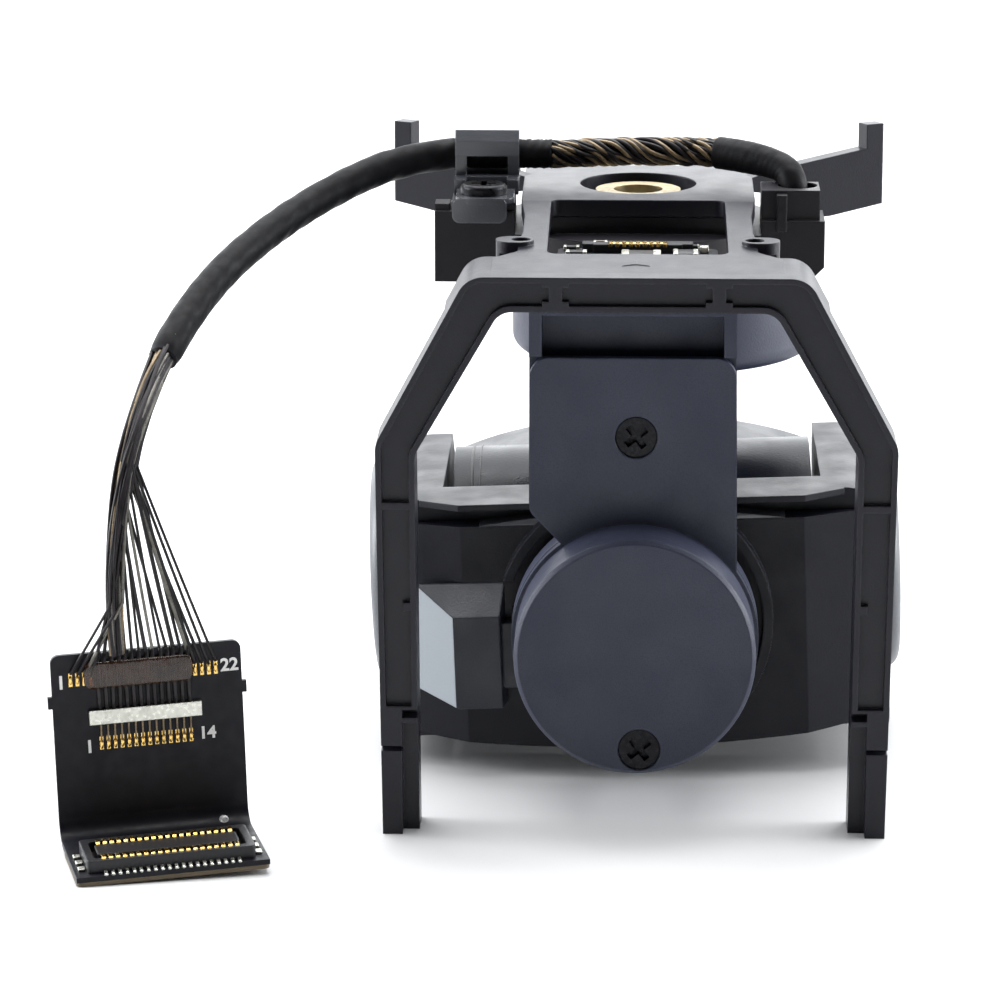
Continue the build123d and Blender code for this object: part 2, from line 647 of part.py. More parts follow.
with BuildPart() as roll_rotor:
    with BuildSketch(rearward(BACK_REAR, 0, ROLL_Z)):
        Circle(2.6)
    extrude(amount=BACK_REAR - BELL_REAR)
    with BuildSketch(rearward(BELL_REAR + 0.7, 0, ROLL_Z)):
        Circle(ROLL_RIM_R)
    extrude(amount=BELL_REAR + 0.7 - ROLL_RIM_REAR)
    with BuildSketch(rearward(BELL_REAR, 0, ROLL_Z)):
        Circle(ROLL_RIM_R - 0.4)
    extrude(amount=BELL_REAR - ROLL_RIM_REAR, mode=Mode.SUBTRACT)
    with BuildSketch(rearward(-10.8, 0, ROLL_Z)):
        Circle(SMALL_SHAFT_R + SEAT_GAP)
    extrude(amount=8, mode=Mode.SUBTRACT)

# ---- roll bracket --------------------------------------------------------------------------

WALL_REAR = -8.6            # rear face of the bracket's wall, under the back cover
LEDGE_BOTTOM = 16.62
COVER_LIP = 15.65           # top of the back cover, below a dark gap
COLLAR_R = 8.3              # collar of the back cover round the roll motor
SIDE_ARM_R = 9.1            # round lower end of the side arms
ROUND_TOP = 2.5             # rounding of the side arms' outer top edges
MOTOR_WALL = 12.4           # outer face of each side arm's inner wall
BRACKET_SCREWS = ((10.1, 13.2), (-10.1, 13.2), (10.1, 5.0), (-10.1, 5.0))

with BuildSketch() as side_arm_profile:
    with BuildLine():
        Polyline(
            (WALL_REAR, BACK_TOP), (WALL_REAR, BACK_BOTTOM), (PITCH_Y, BACK_BOTTOM), (PITCH_Y, BACK_TOP),
            close=True,
        )
    make_face()
    with Locations((PITCH_Y, ROLL_Z)):
        Circle(SIDE_ARM_R)
    with Locations((PITCH_Y, BACK_TOP)):
        Rectangle(30, 10, align=(Align.CENTER, Align.MIN), mode=Mode.SUBTRACT)
    rear_low = side_arm_profile.vertices().sort_by(Axis.X)[:2].sort_by(Axis.Y)[0]
    fillet(rear_low, 2.2)

with BuildPart() as roll_bracket:
    for start in (SIDE_IN, -SIDE_OUT):
        with BuildSketch(sideways(start)):
            add(side_arm_profile.sketch_local)
        extrude(amount=SIDE_OUT - SIDE_IN)
    top_edges = roll_bracket.edges().filter_by(Axis.Y).group_by(Axis.Z)[-1].sort_by(Axis.X)
    fillet([top_edges[0], top_edges[-1]], ROUND_TOP)
    with BuildSketch(rearward(WALL_REAR)):
        with BuildLine():
            Line((-12, BACK_TOP), (12, BACK_TOP))
            Line((12, BACK_TOP), (12, BACK_BOTTOM + 0.8))
            ThreePointArc((12, BACK_BOTTOM + 0.8), (0, BACK_BOTTOM), (-12, BACK_BOTTOM + 0.8))
            Line((-12, BACK_BOTTOM + 0.8), (-12, BACK_TOP))
        make_face()
    extrude(amount=WALL_REAR - BACK_FRONT)
    # ledge over the back cover and the camera
    with BuildSketch(level(LEDGE_BOTTOM)):
        with BuildLine():
            Polyline(
                (-SIDE_OUT + ROUND_TOP, -8.0), (-SIDE_OUT + ROUND_TOP, -8.8), (-10.4, BACK_REAR),
                (10.4, BACK_REAR), (SIDE_OUT - ROUND_TOP, -8.8), (SIDE_OUT - ROUND_TOP, -8.0),
                (11.6, -5.5), (-11.6, -5.5), close=True,
            )
        make_face()
    extrude(amount=BACK_TOP - LEDGE_BOTTOM)
    # motor pocket in the right arm, bearing pocket in the left one
    for start, depth, radius in ((SIDE_OUT, SIDE_OUT - MOTOR_WALL, 5.4), (-SIDE_OUT, MOTOR_WALL - SIDE_OUT, 3.6)):
        with BuildSketch(sideways(start, PITCH_Y, ROLL_Z)):
            Circle(radius)
        extrude(amount=-depth, mode=Mode.SUBTRACT)
    with BuildSketch(sideways(-SIDE_OUT, PITCH_Y, ROLL_Z)):
        Circle(SMALL_SHAFT_R + 0.15)
    extrude(amount=2 * SIDE_OUT, mode=Mode.SUBTRACT)
    for start in (MOTOR_WALL, -SIDE_IN - 0.15):
        with BuildSketch(sideways(start, PITCH_Y, ROLL_Z)):
            Circle(SMALL_BEARING_R)
        extrude(amount=-0.75, mode=Mode.SUBTRACT)
    # counterbored holes for the back cover's screws
    for x, z in BRACKET_SCREWS:
        with BuildSketch(rearward(BACK_FRONT + 0.1, x, z)):
            Circle(0.4)
        extrude(amount=3, mode=Mode.SUBTRACT)
        with BuildSketch(rearward(BACK_FRONT, x, z)):
            Circle(0.82)
        extrude(amount=0.8, mode=Mode.SUBTRACT)

with BuildPart() as roll_back_cover:
    with BuildSketch(rearward(BACK_REAR - 1)):
        with BuildLine():
            Line((-14.8, COVER_LIP), (14.8, COVER_LIP))
            Line((14.8, COVER_LIP), (14.8, BACK_BOTTOM + 1.2))
            ThreePointArc((14.8, BACK_BOTTOM + 1.2), (0, BACK_BOTTOM), (-14.8, BACK_BOTTOM + 1.2))
            Line((-14.8, BACK_BOTTOM + 1.2), (-14.8, COVER_LIP))
        make_face()
    extrude(amount=-5)
    with BuildSketch(level(0)):
        with BuildLine():
            Polyline(
                (-14.8, WALL_REAR - 0.03), (-10.3, BACK_REAR), (10.3, BACK_REAR), (14.8, WALL_REAR - 0.03),
                close=True,
            )
        make_face()
    extrude(amount=20, mode=Mode.INTERSECT)
    # collar round the roll motor, open where the cable cover comes through
    with BuildSketch(rearward(BACK_REAR + 0.1)):
        with Locations((0, ROLL_Z)):
            Circle(COLLAR_R)
            Circle(COLLAR_R - 0.6, mode=Mode.SUBTRACT)
        with Locations((0, LEDGE_BOTTOM - 0.2)):
            Rectangle(20, 5, align=(Align.CENTER, Align.MIN), mode=Mode.SUBTRACT)
        with Locations((-9.3, 8.3)):
            Rectangle(7.0, 8.4, mode=Mode.SUBTRACT)
    extrude(amount=1.3)
    with BuildSketch(rearward(WALL_REAR)):
        with Locations((0, 9.0)):
            RectangleRounded(18, 11, 1)
            Circle(3.4, mode=Mode.SUBTRACT)
        for x, z in BRACKET_SCREWS:
            with Locations((x, z)):
                Circle(1.3, mode=Mode.SUBTRACT)
    extrude(amount=0.8, mode=Mode.SUBTRACT)
    for x, z in BRACKET_SCREWS:
        with BuildSketch(rearward(WALL_REAR, x, z)):
            Circle(0.36)
        extrude(amount=1.2, mode=Mode.SUBTRACT)

with BuildPart() as bracket_screws:
    for x, z in BRACKET_SCREWS:
        with BuildSketch(rearward(BACK_FRONT - 0.05, x, z)):
            Circle(0.78)
        extrude(amount=0.7)
        with BuildSketch(rearward(BACK_FRONT - 0.5, x, z)):
            Circle(0.35)
        extrude(amount=2.6)
        with BuildSketch(rearward(BACK_FRONT - 0.05, x, z)):
            Rectangle(0.9, 0.22)
            Rectangle(0.22, 0.9)
        extrude(amount=0.35, mode=Mode.SUBTRACT)

with BuildPart() as cable_cover:
    # bevelled box over the wires, with a neck that leads them to the roll motor
    with BuildSketch(rearward(BACK_REAR - 0.02)):
        with BuildLine():
            Polyline((-13.2, 12.2), (-13.2, 5.7), (-10.8, 4.8), (-7.8, 4.8), (-7.8, 12.2), close=True)
        make_face()
    with BuildSketch(rearward(-12.1)):
        with BuildLine():
            Polyline((-10.9, 10.5), (-10.9, 4.9), (-10.7, 4.8), (-8.1, 4.8), (-8.1, 10.5), close=True)
        make_face()
    loft()
    with BuildSketch(rearward(BACK_REAR - 0.02)):
        with Locations((-6.1, 7.9)):
            Rectangle(4.0, 4.0)
        with Locations((-6.7, 10.35)):
            Rectangle(1.4, 0.5)
    extrude(amount=1.2)

with BuildPart() as pitch_motor_cap:
    with BuildSketch(sideways(SIDE_OUT + 0.02, PITCH_Y, ROLL_Z)):
        Circle(CAP_R)
    extrude(amount=CAP_OUT - SIDE_OUT - 0.02)
    fillet(pitch_motor_cap.edges().group_by(Axis.X)[-1], 0.95)
    with BuildSketch(sideways(13.4, PITCH_Y, ROLL_Z)):
        Circle(ROLL_HUB_R)
    extrude(amount=SIDE_OUT + 0.1 - 13.4)
    with BuildSketch(sideways(13.3, PITCH_Y, ROLL_Z)):
        Circle(SMALL_SHAFT_R + 0.15)
    extrude(amount=2, mode=Mode.SUBTRACT)
    with BuildSketch(sideways(13.3, PITCH_Y, ROLL_Z)):
        Circle(SMALL_BEARING_R)
    extrude(amount=0.85, mode=Mode.SUBTRACT)

with BuildPart() as left_side_cap:
    with BuildSketch(sideways(-SIDE_OUT - 0.02, PITCH_Y, ROLL_Z)):
        Circle(CAP_R)
    extrude(amount=SIDE_OUT + 0.02 - CAP_OUT)
    fillet(left_side_cap.edges().group_by(Axis.X)[0], 0.95)

# ---- pitch motor ---------------------------------------------------------------------------

PITCH_CORE = (sideways(13.65, PITCH_Y, ROLL_Z), 1.0, 3.9, ROLL_HUB_R, 0.5)
pitch_stator = stator_core(*PITCH_CORE)
pitch_coils = stator_coils(*PITCH_CORE)
pitch_bearings = bearings(
    [sideways(x, PITCH_Y, ROLL_Z) for x in (13.42, MOTOR_WALL - 0.74, -SIDE_IN - 0.89)],
    0.68, SMALL_BEARING_R - SEAT_GAP, SMALL_SHAFT_R + RUNNING_GAP,
)
pitch_magnets = magnets(sideways(13.35, PITCH_Y, ROLL_Z), 1.5, PITCH_RIM_R - 0.4 - SEAT_GAP, 4.15)
with BuildPart() as pitch_shafts:
    for start, length in ((10.25, 4.8), (-12.5, 2.25)):
        with BuildSketch(sideways(start, PITCH_Y, ROLL_Z)):
            Circle(SMALL_SHAFT_R)
        extrude(amount=length)
    chamfer(pitch_shafts.edges().filter_by(GeomType.CIRCLE), SMALL_SHAFT_R / 4)

with BuildPart() as pitch_rotor:
    with BuildSketch(sideways(12.65, PITCH_Y, ROLL_Z)):
        Circle(PITCH_RIM_R)
    extrude(amount=2.3)
    with BuildSketch(sideways(13.15, PITCH_Y, ROLL_Z)):
        Circle(PITCH_RIM_R - 0.4)
    extrude(amount=2, mode=Mode.SUBTRACT)
    with BuildSketch(sideways(12.5, PITCH_Y, ROLL_Z)):
        Circle(SMALL_SHAFT_R + SEAT_GAP)
    extrude(amount=2, mode=Mode.SUBTRACT)

# ---- camera --------------------------------------------------------------------------------

SHELL_WALL = 0.8
SHELL_CROWN = 7.95          # the front shell's top and bottom, from the pitch axis
CROWN_DROP = 2.3            # how far the crowned top falls towards its sides
SHELL_SOLE = -8.0
LENS_BORE = 4.3
CAMERA_SCREWS = ((8.8, 3.2), (-8.8, 3.2), (8.8, -3.2), (-8.8, -3.2))
SCREW_SEAT = PITCH_Y - 6.2

with BuildPart() as camera_rear_shell:
    with BuildSketch(sideways(-CAMERA_HALF, PITCH_Y, ROLL_Z)):
        Circle(REAR_SHELL_R)
        with Locations((SHELL_SPLIT - PITCH_Y, 0)):
            Rectangle(20, 20, align=(Align.MIN, Align.CENTER), mode=Mode.SUBTRACT)
    extrude(amount=2 * CAMERA_HALF)
    with BuildSketch(sideways(-CAMERA_HALF + SHELL_WALL, PITCH_Y, ROLL_Z)):
        Circle(REAR_SHELL_R - SHELL_WALL)
    extrude(amount=2 * (CAMERA_HALF - SHELL_WALL), mode=Mode.SUBTRACT)
    for x, z in CAMERA_SCREWS:
        with BuildSketch(rearward(SHELL_SPLIT, x, ROLL_Z + z)):
            Circle(0.9)
        extrude(amount=SHELL_SPLIT - SCREW_SEAT - 0.3)
    with BuildSketch(sideways(-20, PITCH_Y, ROLL_Z)):
        Circle(SMALL_SHAFT_R + SEAT_GAP)
    extrude(amount=40, mode=Mode.SUBTRACT)
    for x, z in CAMERA_SCREWS:
        with BuildSketch(rearward(SHELL_SPLIT, x, ROLL_Z + z)):
            Circle(0.4)
        extrude(amount=12, mode=Mode.SUBTRACT)
        with BuildSketch(rearward(SCREW_SEAT, x, ROLL_Z + z)):
            Circle(0.75)
        extrude(amount=12, mode=Mode.SUBTRACT)

with BuildPart() as camera_front_shell:
    with BuildSketch(sideways(-CAMERA_HALF, PITCH_Y, ROLL_Z)):
        with BuildLine():
            Polyline(
                (SHELL_SPLIT - PITCH_Y + 0.02, SHELL_CROWN), (SHELL_SPLIT - PITCH_Y + 0.02, SHELL_SOLE),
                (SHELL_FRONT - PITCH_Y, SHELL_SOLE), (SHELL_FRONT - PITCH_Y, SHELL_CROWN), close=True,
            )
        make_face()
    extrude(amount=2 * CAMERA_HALF)
    front_edges = camera_front_shell.edges().filter_by(Axis.X).group_by(Axis.Y)[-1]
    fillet(front_edges, 3.5)
    with BuildSketch(rearward(0)):
        with BuildLine():
            ThreePointArc(
                (-CAMERA_HALF, ROLL_Z + SHELL_CROWN - CROWN_DROP), (0, ROLL_Z + SHELL_CROWN),
                (CAMERA_HALF, ROLL_Z + SHELL_CROWN - CROWN_DROP),
            )
            Polyline(
                (CAMERA_HALF, ROLL_Z + SHELL_CROWN - CROWN_DROP), (CAMERA_HALF, ROLL_Z + SHELL_SOLE),
                (-CAMERA_HALF, ROLL_Z + SHELL_SOLE), (-CAMERA_HALF, ROLL_Z + SHELL_CROWN - CROWN_DROP),
            )
        make_face()
    extrude(amount=30, both=True, mode=Mode.INTERSECT)
    with BuildSketch(rearward(SHELL_SPLIT - 1, 0, ROLL_Z)):
        RectangleRounded(2 * (CAMERA_HALF - 1.0), 12.2, 2)
        for x, z in CAMERA_SCREWS:
            with Locations((x, z)):
                Circle(0.9, mode=Mode.SUBTRACT)
    extrude(amount=-(SHELL_FRONT - SHELL_SPLIT), mode=Mode.SUBTRACT)
    with BuildSketch(rearward(SHELL_FRONT + 1, 0, ROLL_Z)):
        Circle(LENS_BORE)
    extrude(amount=5, mode=Mode.SUBTRACT)
    for x, z in CAMERA_SCREWS:
        with BuildSketch(rearward(SHELL_SPLIT - 1, x, ROLL_Z + z)):
            Circle(0.36)
        extrude(amount=-4.5, mode=Mode.SUBTRACT)

with BuildPart() as camera_screws:
    for x, z in CAMERA_SCREWS:
        with BuildSketch(rearward(SCREW_SEAT - 0.02, x, ROLL_Z + z)):
            Circle(0.7)
        extrude(amount=0.6)
        with BuildSketch(rearward(SHELL_SPLIT + 3.0, x, ROLL_Z + z)):
            Circle(0.35)
        extrude(amount=SHELL_SPLIT + 3.0 - SCREW_SEAT + 0.3)
        with BuildSketch(rearward(SCREW_SEAT - 0.32, x, ROLL_Z + z)):
            Rectangle(0.8, 0.2)
            Rectangle(0.2, 0.8)
        extrude(amount=0.4, mode=Mode.SUBTRACT)

with BuildPart() as lens_ring:
    with BuildSketch(rearward(LENS_FRONT, 0, ROLL_Z)):
        Circle(LENS_RING_R)
        Circle(4.1, mode=Mode.SUBTRACT)
    extrude(amount=LENS_FRONT - SHELL_FRONT - 0.02)
    chamfer(lens_ring.edges().group_by(Axis.Y)[-1].sort_by(SortBy.LENGTH)[-1], 0.5)
    with BuildSketch(rearward(LENS_FRONT, 0, ROLL_Z)):
        Circle(4.75)
    extrude(amount=0.9, mode=Mode.SUBTRACT)

with BuildPart() as lens_window:
    with BuildSketch(rearward(LENS_FRONT - 0.25, 0, ROLL_Z)):
        Circle(4.72)
    extrude(amount=0.6)

BARREL_REAR = PITCH_Y - 0.9
BARREL_FRONT = SHELL_FRONT + 0.6
with BuildPart() as lens_barrel:
    with BuildSketch(rearward(BARREL_FRONT, 0, ROLL_Z)):
        Circle(4.0)
        Circle(3.1, mode=Mode.SUBTRACT)
    extrude(amount=BARREL_FRONT - BARREL_REAR)
    with BuildSketch(rearward(BARREL_REAR + 0.8, 0, ROLL_Z)):
        RectangleRounded(9.6, 9.6, 0.6)
        Circle(3.1, mode=Mode.SUBTRACT)
    extrude(amount=0.8)

with BuildPart() as lens_elements:
    for front in (BARREL_FRONT - 0.5, BARREL_FRONT - 2.6, BARREL_FRONT - 4.8):
        with BuildSketch(rearward(front, 0, ROLL_Z)):
            Circle(3.09)
        extrude(amount=1.2)
    chamfer(lens_elements.edges().filter_by(GeomType.CIRCLE), 0.3)

with BuildPart() as image_sensor:
    with BuildSketch(rearward(BARREL_REAR - 0.05, 0, ROLL_Z)):
        Rectangle(6.4, 5.2)
    extrude(amount=0.5)

with BuildPart() as sensor_board:
    with BuildSketch(rearward(BARREL_REAR - 0.6, 0, ROLL_Z)):
        RectangleRounded(11, 9.6, 0.6)
    extrude(amount=0.6)

with BuildPart() as heat_spreader:
    with BuildSketch(rearward(BARREL_REAR - 1.25, 0, ROLL_Z)):
        RectangleRounded(12, 8.4, 0.6)
    extrude(amount=0.8)
    with BuildSketch(rearward(BARREL_REAR - 1.8, 0, ROLL_Z)):
        with GridLocations(1.5, 1, 7, 1):
            Rectangle(0.5, 6.4)
    extrude(amount=1.4)

# ---- cable ---------------------------------------------------------------------------------


def tube(points, radius):
    """A cable along straight runs joined by arcs as large as the runs allow."""
    points = [Vector(x, AXIS_Y + y, z) for x, y, z in points]
    runs = [b - a for a, b in zip(points, points[1:])]
    radii = []
    for before, after in zip(runs, runs[1:]):
        turn = radians(before.get_angle(after))
        radii.append(0.45 * min(before.length, after.length) / tan(turn / 2))
    with BuildPart() as piece:
        with BuildLine() as path:
            FilletPolyline(*points, radius=radii)
        with BuildSketch(Plane(origin=points[0], z_dir=runs[0])):
            Circle(radius)
        sweep()
    length = sum(edge.length for edge in path.edges())
    print("length", round(length, 2), "radii", [round(r, 1) for r in radii])
    print("volume over section times length", round(piece.part.volume / (pi * radius**2 * length), 3))
    return piece


WRAP_END = (4.9, 0.3, 36.3)
SLEEVE_START = (-5.3, 0.2, 36.2)
LEAD_EXIT = (-11.2, 0.2, 36.2)
LEAD_ROUTE = [
    LEAD_EXIT,
    (-14.4, -0.7, 36.0),
    (-18.4, -3.2, 34.55),
    (-22.0, -7.3, 32.8),
    (-25.1, -12.3, 30.6),
    (-27.5, -18.2, 27.3),
    (-28.9, -22.8, 23.3),
    (-29.5, -24.9, 18.6),
    (-29.65, -25.5, 14.4),
    (-29.45, -25.6, 11.5),
]
SLEEVE_RUNS = 6              # the sleeve covers this many points of the route

cable_wrap_right = tube(
    [(CABLE_SOCKET[0], CABLE_SOCKET[1], 32.3), (CABLE_SOCKET[0], CABLE_SOCKET[1] + 0.1, 34.8),
     (8.7, -2.0, 36.2), WRAP_END], LEAD_R
)
cable_bundle = tube([WRAP_END, (0.4, 0.5, 36.45), SLEEVE_START], LEAD_R)
cable_sleeve = tube([SLEEVE_START, (-8.2, 0.21, 36.2), LEAD_EXIT], LEAD_R)
lead_sleeve = tube(LEAD_ROUTE[:SLEEVE_RUNS], LEAD_R)
lead_wires = tube(LEAD_ROUTE[SLEEVE_RUNS - 1:], LEAD_R * 0.9)

# ---- flex board ----------------------------------------------------------------------------

board_turn = radians(BOARD_TURN)
board_lean = radians(BOARD_LEAN)
board_out = Vector(sin(board_turn), -cos(board_turn), 0)      # from the board towards the connector
level_along = Vector(cos(board_turn), sin(board_turn), 0)
board_along = level_along * cos(board_lean) + Vector(0, 0, sin(board_lean))
board_up = board_out.cross(board_along)
board_foot = Vector(BOARD_FOOT[0], AXIS_Y + BOARD_FOOT[1], BOARD_WIDTH / 2 * sin(board_lean))
board_side = Plane(origin=board_foot, x_dir=board_out, z_dir=-board_along)
board_face = Plane(origin=board_foot, x_dir=board_along, z_dir=board_out)
board_floor = Plane(origin=board_foot, x_dir=board_along, z_dir=board_up)
STIFFENER = 0.25
FOLD_R = 1.4
FLANGE_TOP = STIFFENER + BOARD_THICK

with BuildPart() as flex_board:
    # upright part and flange in one bent strip
    with BuildSketch(board_side):
        fold_middle = Vector(FOLD_R, STIFFENER + FOLD_R)
        slant = Vector(cos(pi / 4), sin(pi / 4))
        with BuildLine():
            Polyline((FOLD_R, STIFFENER), (BOARD_FLANGE, STIFFENER), (BOARD_FLANGE, FLANGE_TOP), (FOLD_R, FLANGE_TOP))
            ThreePointArc(
                (FOLD_R, FLANGE_TOP), fold_middle - slant * (FOLD_R - BOARD_THICK),
                (BOARD_THICK, STIFFENER + FOLD_R),
            )
            Polyline(
                (BOARD_THICK, STIFFENER + FOLD_R), (BOARD_THICK, BOARD_HEIGHT), (0, BOARD_HEIGHT),
                (0, STIFFENER + FOLD_R),
            )
            ThreePointArc((0, STIFFENER + FOLD_R), fold_middle - slant * FOLD_R, (FOLD_R, STIFFENER))
        make_face()
    extrude(amount=BOARD_WIDTH / 2, both=True)
    # rounded corners and the small locating nubs at the edges
    top_corners = flex_board.edges().group_by(Axis(board_foot, board_up))[-1].sort_by(SortBy.LENGTH)[:2]
    fillet(top_corners, 0.5)
    with BuildSketch(board_face):
        with Locations((-BOARD_WIDTH / 2, 8.6), (BOARD_WIDTH / 2, 8.6)):
            Rectangle(0.5, 0.7)
    extrude(amount=BOARD_THICK)

with BuildPart() as flex_stiffener:
    with BuildSketch(board_floor):
        with Locations((0, -(BOARD_FLANGE + FOLD_R + 0.4) / 2)):
            RectangleRounded(BOARD_WIDTH, BOARD_FLANGE - FOLD_R - 0.4, 0.4)
    extrude(amount=STIFFENER)

CONNECTOR_AT = -5.35         # middle of the connector, from the board's foot
CONNECTOR_LENGTH = 9.6
CONNECTOR_WIDTH = 3.9
ROW_OUT = 1.35              # distance of each contact row from the connector's middle
CONNECTOR_HEIGHT = 0.75
PIN_COLUMNS = 20
TAIL_OUT = CONNECTOR_WIDTH / 2 + 0.25
with BuildPart() as flex_connector:
    with BuildSketch(board_floor.offset(FLANGE_TOP)):
        with Locations((0, CONNECTOR_AT)):
            RectangleRounded(CONNECTOR_LENGTH, CONNECTOR_WIDTH, 0.25)
    extrude(amount=CONNECTOR_HEIGHT)
    with BuildSketch(board_floor.offset(FLANGE_TOP + CONNECTOR_HEIGHT)):
        with Locations((0, CONNECTOR_AT)):
            RectangleRounded(CONNECTOR_LENGTH - 0.9, CONNECTOR_WIDTH - 0.9, 0.2)
            RectangleRounded(CONNECTOR_LENGTH - 1.5, CONNECTOR_WIDTH - 2.2, 0.2, mode=Mode.SUBTRACT)
    extrude(amount=-0.65, mode=Mode.SUBTRACT)

with BuildPart() as connector_contacts:
    with BuildSketch(board_floor.offset(FLANGE_TOP + 0.22)):
        with Locations((0, CONNECTOR_AT + ROW_OUT), (0, CONNECTOR_AT - ROW_OUT)):
            with GridLocations(PITCH_CONTACT, 1, PIN_COLUMNS, 1):
                Rectangle(0.2, 0.4)
    extrude(amount=CONNECTOR_HEIGHT - 0.26)

with BuildPart() as connector_tails:
    with BuildSketch(board_floor.offset(FLANGE_TOP)):
        with Locations((0, CONNECTOR_AT + TAIL_OUT), (0, CONNECTOR_AT - TAIL_OUT)):
            with GridLocations(PITCH_CONTACT, 1, PIN_COLUMNS, 1):
                Rectangle(0.18, 0.46)
    extrude(amount=0.14)
    with BuildSketch(board_floor.offset(FLANGE_TOP)):
        with Locations((-CONNECTOR_LENGTH / 2 - 0.22, CONNECTOR_AT), (CONNECTOR_LENGTH / 2 + 0.22, CONNECTOR_AT)):
            Rectangle(0.4, 2.0)
    extrude(amount=0.3)

PAD_MIDDLE = -0.2
with BuildPart() as solder_pads:
    with BuildSketch(board_face.offset(BOARD_THICK)):
        with Locations((PAD_MIDDLE, 9.9)):
            with GridLocations(PITCH_CONTACT, 1, 22, 1):
                Rectangle(0.22, 0.8)
        with Locations((PAD_MIDDLE, 6.0)):
            with GridLocations(PITCH_CONTACT, 1, 14, 1):
                Rectangle(0.22, 0.8)
    extrude(amount=0.04)

with BuildPart() as ground_bar:
    with BuildSketch(board_face.offset(BOARD_THICK)):
        with Locations((PAD_MIDDLE, 7.6)):
            Rectangle(6.5, 0.85)
    extrude(amount=0.3)

with BuildPart() as wire_glue:
    with BuildSketch(board_face.offset(BOARD_THICK + 0.05)):
        with Locations((PAD_MIDDLE - 0.4, 10.2)):
            RectangleRounded(5.6, 2.0, 0.5)
    extrude(amount=1.2)

# ---- finished pieces -----------------------------------------------------------------------

pieces = {
    "mount_bracket": mount_bracket,
    "motor_carrier": motor_carrier,
    "carrier_screws": carrier_screws,
    "yaw_motor_base": yaw_motor_base,
    "hub_ring": hub_ring,
    "yaw_bearings": yaw_bearings,
    "yaw_stator": yaw_stator,
    "yaw_coils": yaw_coils,
    "yaw_board": yaw_board,
    "board_connector": board_connector,
    "board_contacts": board_contacts,
    "cable_clip": cable_clip,
    "cable_clip_screw": cable_clip_screw,
    "cable_wrap_right": cable_wrap_right,
    "cable_bundle": cable_bundle,
    "cable_sleeve": cable_sleeve,
    "lead_sleeve": lead_sleeve,
    "lead_wires": lead_wires,
    "wire_glue": wire_glue,
    "flex_board": flex_board,
    "flex_stiffener": flex_stiffener,
    "flex_connector": flex_connector,
    "connector_contacts": connector_contacts,
    "connector_tails": connector_tails,
    "solder_pads": solder_pads,
    "ground_bar": ground_bar,
    "yaw_arm": yaw_arm,
    "yaw_arm_cover": yaw_arm_cover,
    "yaw_arm_screws": yaw_arm_screws,
    "yaw_rotor_ring": yaw_rotor_ring,
    "yaw_magnets": yaw_magnets,
    "yaw_shaft": yaw_shaft,
    "roll_stator": roll_stator,
    "roll_coils": roll_coils,
    "roll_bearings": roll_bearings,
    "roll_bracket": roll_bracket,
    "roll_back_cover": roll_back_cover,
    "bracket_screws": bracket_screws,
    "cable_cover": cable_cover,
    "roll_rotor": roll_rotor,
    "roll_magnets": roll_magnets,
    "roll_shaft": roll_shaft,
    "pitch_motor_cap": pitch_motor_cap,
    "left_side_cap": left_side_cap,
    "pitch_stator": pitch_stator,
    "pitch_coils": pitch_coils,
    "pitch_bearings": pitch_bearings,
    "pitch_rotor": pitch_rotor,
    "pitch_magnets": pitch_magnets,
    "pitch_shafts": pitch_shafts,
    "camera_rear_shell": camera_rear_shell,
    "camera_front_shell": camera_front_shell,
    "camera_screws": camera_screws,
    "lens_ring": lens_ring,
    "lens_window": lens_window,
    "lens_barrel": lens_barrel,
    "lens_elements": lens_elements,
    "image_sensor": image_sensor,
    "sensor_board": sensor_board,
    "heat_spreader": heat_spreader,
}
swings_with_roll = list(pieces)[list(pieces).index("roll_bracket"):]
roll_axis = Axis((0, AXIS_Y, ROLL_Z), (0, 1, 0))
for name, piece in pieces.items():
    # the unpowered gimbal hangs a little to one side
    solid = piece.part.rotate(roll_axis, REST_ROLL) if name in swings_with_roll else piece.part
    solid.label = name
    export_step(solid, f"parts/{name}.step")
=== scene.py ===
"""Looks of the three-axis camera gimbal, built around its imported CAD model."""

import json
import math
import random

import bmesh
import bpy
from mathutils import Matrix, Vector


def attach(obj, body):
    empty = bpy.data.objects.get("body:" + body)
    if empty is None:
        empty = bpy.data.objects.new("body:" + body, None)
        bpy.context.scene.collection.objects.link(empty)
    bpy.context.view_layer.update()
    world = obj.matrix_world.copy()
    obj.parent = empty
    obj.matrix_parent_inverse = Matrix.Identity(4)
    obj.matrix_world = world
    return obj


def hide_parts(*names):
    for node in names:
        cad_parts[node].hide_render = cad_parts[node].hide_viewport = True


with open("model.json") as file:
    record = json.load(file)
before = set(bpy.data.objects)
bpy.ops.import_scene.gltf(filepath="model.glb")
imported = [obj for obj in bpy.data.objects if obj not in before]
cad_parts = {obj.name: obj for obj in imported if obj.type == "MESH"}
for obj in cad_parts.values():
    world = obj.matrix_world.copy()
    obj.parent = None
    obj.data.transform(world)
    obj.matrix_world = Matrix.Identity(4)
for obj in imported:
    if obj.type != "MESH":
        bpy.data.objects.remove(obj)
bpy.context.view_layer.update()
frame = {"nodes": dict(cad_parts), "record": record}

# ---- places and sizes, in millimetres, with Y counted from the yaw axis ----------------------

MM = 0.001
AXIS_Y = 4.825              # the yaw axis, in front of the origin

# The lead's route, from the clip to the flex board, as in the CAD model.
LEAD_ROUTE = [
    (-11.2, 0.2, 36.2),
    (-14.4, -0.7, 36.0),
    (-18.4, -3.2, 34.55),
    (-22.0, -7.3, 32.8),
    (-25.1, -12.3, 30.6),
    (-27.5, -18.2, 27.3),
    (-28.9, -22.8, 23.3),
    (-29.5, -24.9, 18.6),
    (-29.65, -25.5, 14.4),
    (-29.45, -25.6, 11.5),
]
LEAD_R = 0.9
SLEEVE_SHARE = 0.597        # share of the lead that its sleeve covers

